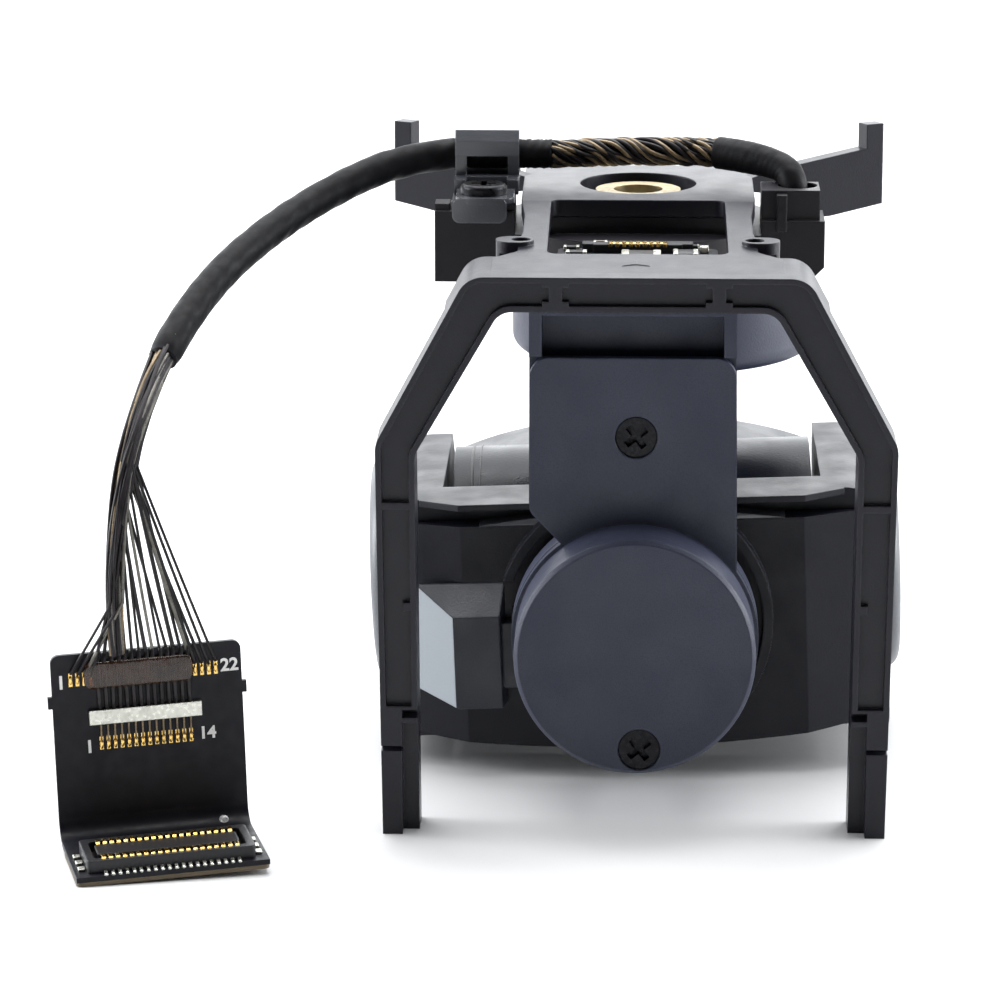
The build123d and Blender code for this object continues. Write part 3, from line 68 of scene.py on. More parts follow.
# The cable between the carrier's socket and the clip.
WRAP_ROUTE = [(9.6, -3.6, 32.3), (9.6, -3.5, 34.8), (8.7, -2.0, 36.2), (4.9, 0.3, 36.3)]
BUNDLE_ROUTE = [(4.9, 0.3, 36.3), (0.4, 0.5, 36.45), (-5.3, 0.2, 36.2)]
CLIP_SLEEVE_ROUTE = [(-5.3, 0.2, 36.2), (-8.2, 0.21, 36.2), (-11.2, 0.2, 36.2)]

BOARD_TURN = math.radians(14.3)
BOARD_LEAN = math.radians(1.8)
BOARD_FOOT = (-27.75, -23.98)
BOARD_WIDTH = 11.0
BOARD_FACE = 0.3            # thickness of the flex board
STIFFENER = 0.25
FOLD_R = 1.4
FOLD_INNER_R = FOLD_R - BOARD_FACE
FLANGE_TOP = 0.55           # upper side of the flange that carries the connector
PAD_PITCH = 0.4
PAD_MIDDLE = -0.2
UPPER_PADS = 22
LOWER_PADS = 14
GLUED_PADS = range(4, 18)   # the upper pads under the glue
CONNECTOR_AT = 5.35
CONNECTOR_TOP = FLANGE_TOP + 0.75
ROW_OUT = 1.35

ROLL_Z = 9.7                # height of the roll and pitch axes
PITCH_Y = 3.5
REST_ROLL = math.radians(-2.2)


def at(x, y, z):
    """A point given in millimetres from the yaw axis, in the row frame."""
    return Vector((x, y + AXIS_Y, z)) * MM


# ---- materials -------------------------------------------------------------------------------


class Finish:
    """A Principled material whose grain, mottling and worn edges come from object coordinates."""

    def __init__(self, name, colour, roughness, metallic=0.0):
        self.material = bpy.data.materials.new(name)
        self.material.use_nodes = True
        self.tree = self.material.node_tree
        self.shader = self.tree.nodes["Principled BSDF"]
        self.shader.inputs["Base Color"].default_value = (*colour, 1)
        self.shader.inputs["Roughness"].default_value = roughness
        self.shader.inputs["Metallic"].default_value = metallic
        self.colour = colour
        self.colour_from = None
        self.normal_from = None
        coordinates = self.add("ShaderNodeTexCoord")
        scaled = self.add("ShaderNodeVectorMath", operation="SCALE")
        scaled.inputs["Scale"].default_value = 1 / MM
        self.link(coordinates.outputs["Object"], scaled.inputs[0])
        self.place = scaled.outputs[0]

    def add(self, kind, **settings):
        node = self.tree.nodes.new(kind)
        for key, value in settings.items():
            setattr(node, key, value)
        return node

    def link(self, start, end):
        self.tree.links.new(start, end)

    def noise(self, scale, detail=4.0, distortion=0.0, stretch=(1, 1, 1)):
        """Noise with so many waves to the millimetre."""
        mapping = self.add("ShaderNodeMapping")
        mapping.inputs["Scale"].default_value = stretch
        self.link(self.place, mapping.inputs["Vector"])
        texture = self.add("ShaderNodeTexNoise")
        texture.inputs["Scale"].default_value = scale
        texture.inputs["Detail"].default_value = detail
        texture.inputs["Distortion"].default_value = distortion
        self.link(mapping.outputs[0], texture.inputs["Vector"])
        return texture.outputs["Fac"]

    def ramp(self, value, low, high, start, end):
        """Maps value from low..high to start..end, held at both ends."""
        node = self.add("ShaderNodeMapRange", clamp=True)
        for key, number in zip(("From Min", "From Max", "To Min", "To Max"), (low, high, start, end)):
            node.inputs[key].default_value = number
        self.link(value, node.inputs["Value"])
        return node.outputs["Result"]

    def tint(self, share, colour):
        """Mixes another colour over the base colour."""
        mix = self.add("ShaderNodeMix", data_type="RGBA")
        if self.colour_from is None:
            mix.inputs["A"].default_value = (*self.colour, 1)
        else:
            self.link(self.colour_from, mix.inputs["A"])
        mix.inputs["B"].default_value = (*colour, 1)
        self.link(share, mix.inputs["Factor"])
        self.colour_from = mix.outputs["Result"]
        self.link(self.colour_from, self.shader.inputs["Base Color"])
        return self

    def mottle(self, scale, colour, low=0.45, high=0.75, stretch=(1, 1, 1)):
        return self.tint(self.ramp(self.noise(scale, stretch=stretch), low, high, 0, 1), colour)

    def rough(self, scale, low, high, stretch=(1, 1, 1)):
        """Roughness that wanders between two values."""
        value = self.ramp(self.noise(scale, stretch=stretch), 0.35, 0.65, low, high)
        self.link(value, self.shader.inputs["Roughness"])
        return self

    def rounded(self, radius=0.12):
        """Edges that catch the light as if they were rounded."""
        bevel = self.add("ShaderNodeBevel", samples=4)
        bevel.inputs["Radius"].default_value = radius * MM
        self.normal_from = bevel.outputs[0]
        self.link(self.normal_from, self.shader.inputs["Normal"])
        return self

    def worn(self, colour, radius=0.2, strength=1.0):
        """A lighter rub along the sharp edges, broken up by noise."""
        bevel = self.add("ShaderNodeBevel", samples=4)
        bevel.inputs["Radius"].default_value = radius * MM
        geometry = self.add("ShaderNodeNewGeometry")
        dot = self.add("ShaderNodeVectorMath", operation="DOT_PRODUCT")
        self.link(bevel.outputs[0], dot.inputs[0])
        self.link(geometry.outputs["Normal"], dot.inputs[1])
        edge = self.ramp(dot.outputs["Value"], 0.97, 0.8, 0, strength)
        patchy = self.add("ShaderNodeMath", operation="MULTIPLY")
        self.link(edge, patchy.inputs[0])
        self.link(self.ramp(self.noise(1.4), 0.35, 0.6, 0.15, 1), patchy.inputs[1])
        return self.tint(patchy.outputs[0], colour)

    def painted_left_highlight(self, colour):
        """Painted highlight: lightens the colour of the faces that look to the left, as if light fell on them
        from the left.
        """
        coordinates = self.add("ShaderNodeTexCoord")
        dot = self.add("ShaderNodeVectorMath", operation="DOT_PRODUCT")
        dot.inputs[1].default_value = (-1, 0, 0)
        self.link(coordinates.outputs["Normal"], dot.inputs[0])
        return self.tint(self.ramp(dot.outputs["Value"], 0.35, 0.55, 0, 1), colour)

    def grain(self, scale, depth, detail=3.0, stretch=(1, 1, 1)):
        """A fine relief, depth in millimetres."""
        bump = self.add("ShaderNodeBump")
        bump.inputs["Distance"].default_value = depth * MM
        bump.inputs["Strength"].default_value = 1.0
        self.link(self.noise(scale, detail, stretch=stretch), bump.inputs["Height"])
        if self.normal_from is not None:
            self.link(self.normal_from, bump.inputs["Normal"])
        self.normal_from = bump.outputs[0]
        self.link(self.normal_from, self.shader.inputs["Normal"])
        return self

    def dull(self, level):
        """Weakens the mirror-like share of the reflection."""
        self.shader.inputs["Specular IOR Level"].default_value = level
        return self

    def coat(self, weight, roughness=0.1):
        self.shader.inputs["Coat Weight"].default_value = weight
        self.shader.inputs["Coat Roughness"].default_value = roughness
        return self


def moulded(name, colour, roughness=0.5, light=1.9):
    """Matt moulded plastic: a spark-eroded grain, faint flow marks and rubbed edges."""
    finish = Finish(name, colour, roughness)
    finish.mottle(0.25, [c * 1.25 for c in colour])
    finish.worn([c * light + 0.01 for c in colour])
    finish.rough(0.6, roughness - 0.02, roughness + 0.03)
    finish.dull(0.4).rounded(0.14).grain(9.0, 0.012)
    return finish


def painted(name, colour, roughness=0.55, light=1.8):
    """Powder paint on cast metal: an even pebble, slightly polished on the edges."""
    finish = Finish(name, colour, roughness)
    finish.mottle(0.18, [c * 1.15 for c in colour])
    finish.mottle(14.0, [c * 0.8 for c in colour], 0.5, 0.62)
    finish.worn([c * light + 0.008 for c in colour], radius=0.25, strength=0.7)
    finish.rough(0.4, roughness - 0.05, roughness + 0.07)
    finish.dull(0.5).rounded(0.16).grain(7.0, 0.012)
    return finish


def metal(name, colour, roughness, stretch=(1, 1, 1), grain=0.004):
    """Bare metal with fine tool marks."""
    finish = Finish(name, colour, roughness, metallic=1.0)
    finish.mottle(0.8, [c * 0.8 for c in colour], stretch=stretch)
    finish.rough(5.0, roughness * 0.7, roughness * 1.4, stretch=stretch)
    finish.rounded(0.06).grain(16.0, grain, stretch=stretch)
    return finish


def board_finish():
    """Black solder resist over copper tracks that show as a faint relief."""
    finish = Finish("board", (0.005, 0.005, 0.008), 0.42)
    finish.mottle(0.5, (0.009, 0.009, 0.014))
    finish.rough(1.5, 0.36, 0.5)
    finish.dull(0.22)
    finish.rounded(0.04).grain(2.2, 0.004, detail=0.0, stretch=(1, 1, 0.2))
    return finish


def glue_finish():
    """Clear brown adhesive, glossy, with a few darker clouds."""
    finish = Finish("glue", (0.20, 0.085, 0.04), 0.2)
    finish.mottle(1.1, (0.06, 0.03, 0.016))
    finish.shader.inputs["Transmission Weight"].default_value = 0.85
    finish.shader.inputs["IOR"].default_value = 1.5
    finish.grain(1.5, 0.05)
    return finish


def glass_finish():
    """Optical glass with a violet coating."""
    finish = Finish("glass", (0.30, 0.27, 0.42), 0.02)
    finish.shader.inputs["Transmission Weight"].default_value = 0.96
    finish.shader.inputs["IOR"].default_value = 1.45
    return finish


def sleeve_finish():
    """Black wrap with lengthwise creases and dull lint."""
    finish = Finish("sleeve", (0.004, 0.004, 0.005), 0.5)
    finish.mottle(0.9, (0.008, 0.008, 0.009), 0.5, 0.7)
    finish.mottle(5.0, (0.03, 0.03, 0.028), 0.72, 0.8)
    finish.rough(1.2, 0.45, 0.62)
    finish.dull(0.12).grain(1.6, 0.02).grain(9.0, 0.008)
    return finish


def wire_finish(name, colour, roughness=0.35):
    """Enamelled wire, its colour uneven along its length."""
    finish = Finish(name, colour, roughness)
    finish.mottle(1.5, [c * 0.45 for c in colour])
    finish.rough(3.0, roughness - 0.1, roughness + 0.1)
    finish.grain(12.0, 0.01)
    finish.shader.inputs["Metallic"].default_value = 0.35
    return finish


def make_finishes():
    black = (0.012, 0.012, 0.014)
    return {
        "bracket_plastic": moulded("bracket_plastic", (0.010, 0.010, 0.0155), 0.34).dull(0.27),
        "carrier_plastic": moulded("carrier_plastic", (0.007, 0.006, 0.009), 0.4).dull(0.3),
        "clip_plastic": moulded("clip_plastic", (0.050, 0.053, 0.062), 0.24).coat(0.8, 0.14),
        "arm_metal": painted("arm_metal", (0.028, 0.033, 0.058), 0.46).dull(0.4),
        "shell_metal": painted("shell_metal", (0.005, 0.0055, 0.010), 0.40).dull(0.27),
        "cap_metal": painted("cap_metal", (0.11, 0.115, 0.125), 0.4),
        "camera_shell": painted("camera_shell", (0.007, 0.009, 0.015), 0.32).dull(0.25),
        "aluminium": metal("aluminium", (0.66, 0.67, 0.68), 0.3),
        "steel": metal("steel", (0.52, 0.52, 0.53), 0.32),
        "screw_black": metal("screw_black", (0.02, 0.02, 0.022), 0.36),
        "laminations": metal("laminations", (0.32, 0.32, 0.33), 0.42, stretch=(1, 1, 12)),
        "magnet": metal("magnet", (0.6, 0.6, 0.6), 0.18),
        "copper": metal("copper", (0.72, 0.33, 0.13), 0.3, stretch=(1, 1, 6), grain=0.05),
        "brass": metal("brass", (0.42, 0.34, 0.20), 0.42),
        "board": board_finish(),
        "stiffener": moulded("stiffener", (0.10, 0.075, 0.045), 0.5),
        "connector_black": moulded("connector_black", black, 0.4),
        "gold": metal("gold", (0.83, 0.56, 0.18), 0.22),
        "tin": metal("tin", (0.60, 0.60, 0.54), 0.36),
        "sleeve": sleeve_finish(),
        "wire": wire_finish("wire", (0.30, 0.25, 0.19)),
        "glue": glue_finish(),
        "glass": glass_finish(),
        "lens_black": moulded("lens_black", black, 0.34),
        "silicon": moulded("silicon", (0.05, 0.05, 0.08), 0.15),
    }


FINISHES = make_finishes()
BRONZE_WIRE = wire_finish("bronze_wire", (0.24, 0.175, 0.10), 0.32)
DARK_WIRE = wire_finish("dark_wire", (0.014, 0.011, 0.013), 0.42)
INK = moulded("ink", (0.75, 0.75, 0.73), 0.6)
CERAMIC = moulded("ceramic", (0.62, 0.58, 0.5), 0.4)
# The cable cover's paint carries a painted highlight on the faces that look to the left.
COVER_PAINT = painted("cover_paint", (0.018, 0.020, 0.030), 0.42).painted_left_highlight((0.30, 0.33, 0.36))
GREY_WIRE = wire_finish("grey_wire", (0.17, 0.16, 0.14), 0.35)


def dress(obj, *finishes):
    obj.data.materials.clear()
    for finish in finishes:
        obj.data.materials.append(finish.material)


for subpart in frame["record"]["subparts"]:
    dress(frame["nodes"][subpart["node"]], FINISHES[subpart["material_slot"]])
dress(frame["nodes"]["cable_cover"], COVER_PAINT)


# ---- mesh helpers ----------------------------------------------------------------------------


def piece(name, mesh, body, slot, *finishes):
    """Links a finished mesh as a piece of the object."""
    obj = bpy.data.objects.new(name, mesh)
    bpy.context.scene.collection.objects.link(obj)
    for finish in finishes or (FINISHES[slot],):
        mesh.materials.append(finish.material)
    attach(obj, body)
    return obj


def mesh_from(shape, name, smooth=True):
    """Turns a bmesh into a mesh."""
    mesh = bpy.data.meshes.new(name)
    bmesh.ops.recalc_face_normals(shape, faces=shape.faces)
    shape.to_mesh(mesh)
    shape.free()
    for face in mesh.polygons:
        face.use_smooth = smooth
    return mesh


def line_through(route, steps=16):
    """Points along the NURBS line that has the route as its control points."""
    curve = bpy.data.curves.new("line", "CURVE")
    curve.dimensions = "3D"
    spline = curve.splines.new("NURBS")
    spline.points.add(len(route) - 1)
    for point, place in zip(spline.points, route):
        point.co = (*at(*place), 1)
    spline.order_u = 3
    spline.use_endpoint_u = True
    spline.resolution_u = steps
    holder = bpy.data.objects.new("line", curve)
    mesh = bpy.data.meshes.new_from_object(holder)
    points = [vertex.co.copy() for vertex in mesh.vertices]
    bpy.data.objects.remove(holder)
    bpy.data.curves.remove(curve)
    bpy.data.meshes.remove(mesh)
    return points


class Track:
    """A line with even steps and a frame that doesn't twist along it."""

    def __init__(self, points, step=0.12):
        lengths = [0.0]
        for a, b in zip(points, points[1:]):
            lengths.append(lengths[-1] + (b - a).length)
        self.length = lengths[-1]
        count = max(8, int(self.length / (step * MM)))
        self.points = []
        index = 0
        for i in range(count + 1):
            goal = self.length * i / count
            while index < len(points) - 2 and lengths[index + 1] < goal:
                index += 1
            span = lengths[index + 1] - lengths[index]
            share = (goal - lengths[index]) / span if span else 0
            self.points.append(points[index].lerp(points[index + 1], share))
        self.tangents = []
        for i in range(count + 1):
            before = self.points[max(0, i - 1)]
            after = self.points[min(count, i + 1)]
            self.tangents.append((after - before).normalized())
        side = self.tangents[0].orthogonal().normalized()
        self.sides = []
        for tangent in self.tangents:
            side = (side - tangent * side.dot(tangent)).normalized()
            self.sides.append(side.copy())

    def around(self, index, angle, radius):
        """The point at that angle and radius, in metres, from the line."""
        side = self.sides[index]
        other = self.tangents[index].cross(side)
        return self.points[index] + (side * math.cos(angle) + other * math.sin(angle)) * radius


def tube(shape, points, radius, sides=8, material=0, closed=True):
    """Adds a tube along points; radius is a number or a function of the share of the length and the angle."""
    track = Track(points, step=0.05) if len(points) < 4 else None
    places = track.points if track else points
    rings = []
    side = (places[1] - places[0]).orthogonal().normalized()
    last = len(places) - 1
    for i, centre in enumerate(places):
        tangent = (places[min(last, i + 1)] - places[max(0, i - 1)]).normalized()
        side = (side - tangent * side.dot(tangent)).normalized()
        other = tangent.cross(side)
        ring = []
        for k in range(sides):
            angle = 2 * math.pi * k / sides
            reach = radius(i / last, angle) if callable(radius) else radius
            ring.append(shape.verts.new(centre + (side * math.cos(angle) + other * math.sin(angle)) * reach))
        rings.append(ring)
    for a, b in zip(rings, rings[1:]):
        for k in range(sides):
            face = shape.faces.new((a[k], a[(k + 1) % sides], b[(k + 1) % sides], b[k]))
            face.material_index = material
    if closed:
        shape.faces.new(rings[0][::-1]).material_index = material
        shape.faces.new(rings[-1]).material_index = material


def slab(shape, outline, place, start, depth, bevel=0.0, segments=2, material=0):
    """Adds a plate with bevelled edges; outline holds flat points and place(u, v, w) puts them in space."""
    plate = bmesh.new()
    back = [plate.verts.new(place(u, v, start)) for u, v in outline]
    front = [plate.verts.new(place(u, v, start + depth)) for u, v in outline]
    count = len(outline)
    plate.faces.new(back[::-1])
    plate.faces.new(front)
    for k in range(count):
        plate.faces.new((back[k], back[(k + 1) % count], front[(k + 1) % count], front[k]))
    bmesh.ops.recalc_face_normals(plate, faces=plate.faces)
    if bevel:
        sharp = [e for e in plate.edges if len(e.link_faces) == 2 and e.calc_face_angle(0) > 0.5]
        bmesh.ops.bevel(
            plate,
            geom=sharp,
            offset=bevel * MM,
            segments=segments,
            affect="EDGES",
            profile=0.5,
            clamp_overlap=True,
        )
    merge(shape, plate, material)


def merge(shape, other, material=0):
    """Moves one bmesh's faces into another."""
    twins = {vertex: shape.verts.new(vertex.co) for vertex in other.verts}
    for face in other.faces:
        try:
            shape.faces.new([twins[vertex] for vertex in face.verts]).material_index = material
        except ValueError:
            continue
    other.free()


def rounded_box(width, height, radius=0.0, middle=(0, 0), steps=4):
    """The outline of a rectangle with round corners."""
    if not radius:
        radius, steps = 0.001, 0
    points = []
    for corner, (sx, sy) in enumerate(((1, 1), (-1, 1), (-1, -1), (1, -1))):
        for k in range(steps + 1):
            angle = math.pi / 2 * (corner + (k / steps if steps else 0.5))
            points.append(
                (
                    middle[0] + sx * (width / 2 - radius) + radius * math.cos(angle),
                    middle[1] + sy * (height / 2 - radius) + radius * math.sin(angle),
                )
            )
    return points


def disc(radius, middle=(0, 0), steps=24):
    """The outline of a circle."""
    angles = [2 * math.pi * k / steps for k in range(steps)]
    return [
        (middle[0] + radius * math.cos(angle), middle[1] + radius * math.sin(angle))
        for angle in angles
    ]


def dome(shape, place, middle, size, height, material=0, rings=4, steps=12):
    """Adds a low rounded lump that sits on a surface; size holds its half widths."""
    loops = []
    for i in range(rings):
        lift = math.pi / 2 * i / rings
        loops.append(
            [
                shape.verts.new(
                    place(
                        middle[0] + size[0] * math.cos(lift) * math.cos(2 * math.pi * k / steps),
                        middle[1] + size[1] * math.cos(lift) * math.sin(2 * math.pi * k / steps),
                        height * math.sin(lift),
                    )
                )
                for k in range(steps)
            ]
        )
    top = shape.verts.new(place(*middle, height))
    for a, b in zip(loops, loops[1:]):
        for k in range(steps):
            face = shape.faces.new((a[k], a[(k + 1) % steps], b[(k + 1) % steps], b[k]))
            face.material_index = material
    for k in range(steps):
        shape.faces.new((loops[-1][k], loops[-1][(k + 1) % steps], top)).material_index = material
    shape.faces.new(loops[0][::-1]).material_index = material


def hang(mesh):
    """Tilts a mesh about the roll axis, as the unpowered gimbal hangs."""
    centre = Matrix.Translation(at(0, 0, ROLL_Z))
    mesh.transform(centre @ Matrix.Rotation(REST_ROLL, 4, "Y") @ centre.inverted())


# ---- cable ------------------------------------------------------------------------------------


def creased(radius, seed, depth=0.09):
    """The radius of a tight wrap whose creases run along and round it."""
    draw = random.Random(seed)
    waves = [
        (draw.randint(2, 5), draw.uniform(6, 26), draw.uniform(0, 6.28), draw.uniform(0.4, 1.0))
        for _ in range(9)
    ]

    def reach(share, angle):
        total = sum(
            weight * math.sin(around * angle + along * share * 6.28 + phase)
            for around, along, phase, weight in waves
        )
        return radius * MM * (1 + depth * math.tanh(total / 2.5))

    return reach


def strand_path(track, turns, phase, radius, start=0.0, end=1.0, wobble=0.0, seed=0):
    """One strand of a rope laid round a track."""
    draw = random.Random(seed)
    wander = draw.uniform(0, 6.28)
    last = len(track.points) - 1
    path = []
    for i in range(int(start * last), int(end * last) + 1):
        share = i / last
        angle = phase + turns * 2 * math.pi * share + wobble * math.sin(share * 19 + wander)
        reach = radius * (1 + 0.25 * wobble * math.sin(share * 31 + wander))
        path.append(track.around(i, angle, reach * MM))
    return path


def make_bundle():
    """Twisted bronze and black wires over the plate."""
    track = Track(line_through(BUNDLE_ROUTE))
    shape = bmesh.new()
    outer = 19
    for k in range(outer):
        phase = 2 * math.pi * k / outer
        path = strand_path(track, 1.35, phase, 0.74, wobble=0.22, seed=k)
        tube(shape, path, 0.13 * MM, material=(0, 1, 0, 1, 1)[k % 5])
    for k in range(7):
        path = strand_path(track, 1.35, 2 * math.pi * k / 7, 0.42, seed=40 + k)
        tube(shape, path, 0.2 * MM, material=1)
    mesh = mesh_from(shape, "twisted_wires")
    bundle = piece("twisted_wires", mesh, "mount", "wire", BRONZE_WIRE, DARK_WIRE)
    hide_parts("cable_bundle")


def make_wraps():
    """The wrap at the socket and the stretch of sleeve inside the clip."""
    wrap = bmesh.new()
    creases = creased(0.99, 5, 0.012)
    tube(
        wrap,
        Track(line_through(WRAP_ROUTE)).points,
        lambda share, angle: creases(share, angle) * (0.72 + 0.28 * min(1, share / 0.75)),
        sides=32,
    )
    right = piece("socket_wrap", mesh_from(wrap, "socket_wrap"), "mount", "sleeve")
    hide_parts("cable_wrap_right")
    sleeve = bmesh.new()
    tube(sleeve, Track(line_through(CLIP_SLEEVE_ROUTE)).points, creased(0.88, 9, 0.05), sides=32)
    inner = piece("clip_sleeve", mesh_from(sleeve, "clip_sleeve"), "mount", "sleeve")
    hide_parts("cable_sleeve")


def board_point(across, out, up):
    """A point on the flex board: across it, out from its foot along the flange, and up."""
    level_along = Vector((math.cos(BOARD_TURN), math.sin(BOARD_TURN), 0))
    along = level_along * math.cos(BOARD_LEAN) + Vector((0, 0, math.sin(BOARD_LEAN)))
    outward = Vector((math.sin(BOARD_TURN), -math.cos(BOARD_TURN), 0))
    foot = Vector((*BOARD_FOOT, BOARD_WIDTH / 2 * math.sin(BOARD_LEAN)))
    place = foot + along * across + outward * out + outward.cross(along) * up
    return at(*place)


def make_lead():
    """The free lead: a creased sleeve, then loose fine wires that spread to the board's pads."""
    line = line_through(LEAD_ROUTE)
    track = Track(line)
    last = len(track.points) - 1
    shape = bmesh.new()
    covered = int(SLEEVE_SHARE * last)

    def sleeve_radius(share, angle, creases=creased(LEAD_R * 1.06, 3, 0.022)):
        collar = 1.0 - 0.12 * math.exp(-((1 - share) * 60) ** 2)
        return creases(share, angle) * collar

    tube(shape, track.points[: covered + 1], sleeve_radius, sides=36)
    draw = random.Random(11)
    for k in range(26):
        phase = draw.uniform(0, 6.28)
        reach = draw.uniform(0.1, 0.78)
        path = strand_path(track, 0.35, phase, reach, SLEEVE_SHARE - 0.03, 1.0, 0.3, seed=k)
        for i, point in enumerate(path):
            share = i / (len(path) - 1)
            middle = track.points[last - len(path) + 1 + i]
            path[i] = middle.lerp(point, 1 - 0.45 * share)
        tube(shape, path, draw.uniform(0.09, 0.13) * MM, sides=6, material=(2, 1, 2, 2, 3)[k % 5])
    mesh = mesh_from(shape, "lead")
    lead = piece("lead", mesh, "mount", "sleeve", FINISHES["sleeve"], GREY_WIRE, DARK_WIRE, BRONZE_WIRE)
    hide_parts("lead_sleeve", "lead_wires")
    on_the_lead = [make_wire_fan(track), make_glue(), make_board_wires(), make_print(), make_contacts()]
    for name in ("flex_board", "flex_stiffener", "flex_connector", "solder_pads", "ground_bar"):
        on_the_lead.append(frame["nodes"][name])


def make_wire_fan(track):
    """Fine wires that leave the bundle above the board and spread to its upper pads."""
    shape = bmesh.new()
    last = len(track.points) - 1
    draw = random.Random(23)
    for k in range(UPPER_PADS):
        across = PAD_MIDDLE + (k - (UPPER_PADS - 1) / 2) * PAD_PITCH
        height = 11.2 if k in GLUED_PADS else 10.2
        end = board_point(across, BOARD_FACE + 0.14, height + draw.uniform(-0.1, 0.1))
        leave = max(0.76, 0.97 - 0.012 * k - 0.03 * draw.random())
        begin = int(leave * last)
        phase = draw.uniform(-0.9, 0.9)
        start = strand_path(track, 0.25, phase, 0.6, SLEEVE_SHARE - 0.02, leave, 0.2, seed=60 + k)
        first = start[-1]
        lean = track.tangents[begin] * 0.9 * MM
        drop = Vector((0, 0, 0.9 * MM))
        path = list(start)
        steps = 22
        for i in range(1, steps + 1):
            t = i / steps
            a = first.lerp(first + lean, t)
            b = (end + drop).lerp(end, t)
            path.append(a.lerp(b, t))
        tube(shape, path, draw.uniform(0.08, 0.13) * MM, sides=6, material=(1, 1, 0, 1, 1)[k % 5])
    return piece("wire_fan", mesh_from(shape, "wire_fan"), "mount", "wire", GREY_WIRE, DARK_WIRE, BRONZE_WIRE)


def on_face(u, v, w):
    """A place on the upright face of the flex board: across, up and out."""
    return board_point(u, BOARD_FACE + w, v)


def on_flange(u, v, w):
    """A place over the flange of the flex board: across, out from the foot and up."""
    return board_point(u, v, w)


def make_glue():
    """A flat film of clear brown adhesive over the soldered wire ends."""
    shape = bmesh.new()
    outline = rounded_box(6.3, 1.6, 0.45, (PAD_MIDDLE - 0.3, 10.1))
    slab(shape, outline, on_face, 0.0, 0.36, bevel=0.16, segments=4)
    glue = piece("glue_film", mesh_from(shape, "glue_film"), "mount", "glue")
    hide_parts("wire_glue")
    return glue


def make_board_wires():
    """Fourteen dark cores that run flat over the board, under the ground bar, to the lower pads."""
    shape = bmesh.new()
    draw = random.Random(31)
    bare_line = ((7.3, 0.18), (7.0, 0.16), (6.7, 0.12), (6.4, 0.1), (6.05, 0.09))
    for k in range(LOWER_PADS):
        across = PAD_MIDDLE + (k - (LOWER_PADS - 1) / 2) * PAD_PITCH
        drift = draw.uniform(-0.06, 0.06)
        covered = [on_face(across + drift * (v - 8) / 3, v, 0.14) for v in (11.4, 10.8, 10.0, 9.2, 8.6, 8.0)]
        tube(shape, covered, 0.13 * MM, sides=8, material=0)
        bare = [on_face(across, v, w) for v, w in bare_line]
        tube(shape, bare, 0.06 * MM, sides=6, material=1)
        dome(shape, on_face, (across, 5.95), (0.13, 0.33), 0.16, material=2)
    for k in range(UPPER_PADS):
        if k in GLUED_PADS:
            continue
        across = PAD_MIDDLE + (k - (UPPER_PADS - 1) / 2) * PAD_PITCH
        dome(shape, on_face, (across, 9.9), (0.12, 0.32), 0.12, material=2)
    mesh = mesh_from(shape, "board_wires")
    return piece("board_wires", mesh, "mount", "wire", DARK_WIRE, BRONZE_WIRE, FINISHES["gold"])


def figure(shape, text, middle, height, upright=True):
    """Adds white printed figures to the face of the board."""
    curve = bpy.data.curves.new("figure", "FONT")
    curve.body = text
    curve.size = height
    curve.align_x = "CENTER"
    curve.align_y = "CENTER"
    curve.extrude = 0.006
    curve.resolution_u = 4
    curve.offset = 0.03
    holder = bpy.data.objects.new("figure", curve)
    mesh = bpy.data.meshes.new_from_object(holder)
    for vertex in mesh.vertices:
        x, y, z = vertex.co
        u, v = (x, y) if upright else (y, -x)
        vertex.co = on_face(middle[0] + u, middle[1] + v, 0.008 + z)
    shape.from_mesh(mesh)
    bpy.data.objects.remove(holder)
    bpy.data.curves.remove(curve)
    bpy.data.meshes.remove(mesh)


def make_print():
    """The pin numbers at the ends of both pad rows, and a dot for the connector's first pin."""
    shape = bmesh.new()
    figure(shape, "1", (-4.95, 9.75), 1.1)
    figure(shape, "22", (4.8, 9.95), 1.05)
    figure(shape, "1", (-3.5, 5.8), 1.05)
    figure(shape, "14", (3.35, 6.0), 1.0)

    def on_fold(u, v, w):
        turn = math.radians(50) + v / FOLD_INNER_R
        reach = FOLD_INNER_R - w
        return board_point(u, FOLD_R - reach * math.cos(turn), STIFFENER + FOLD_R - reach * math.sin(turn))

    slab(shape, disc(0.27, (4.0, 0)), on_fold, 0.003, 0.012)
    return piece("board_print", mesh_from(shape, "board_print", smooth=False), "mount", "tin", INK)


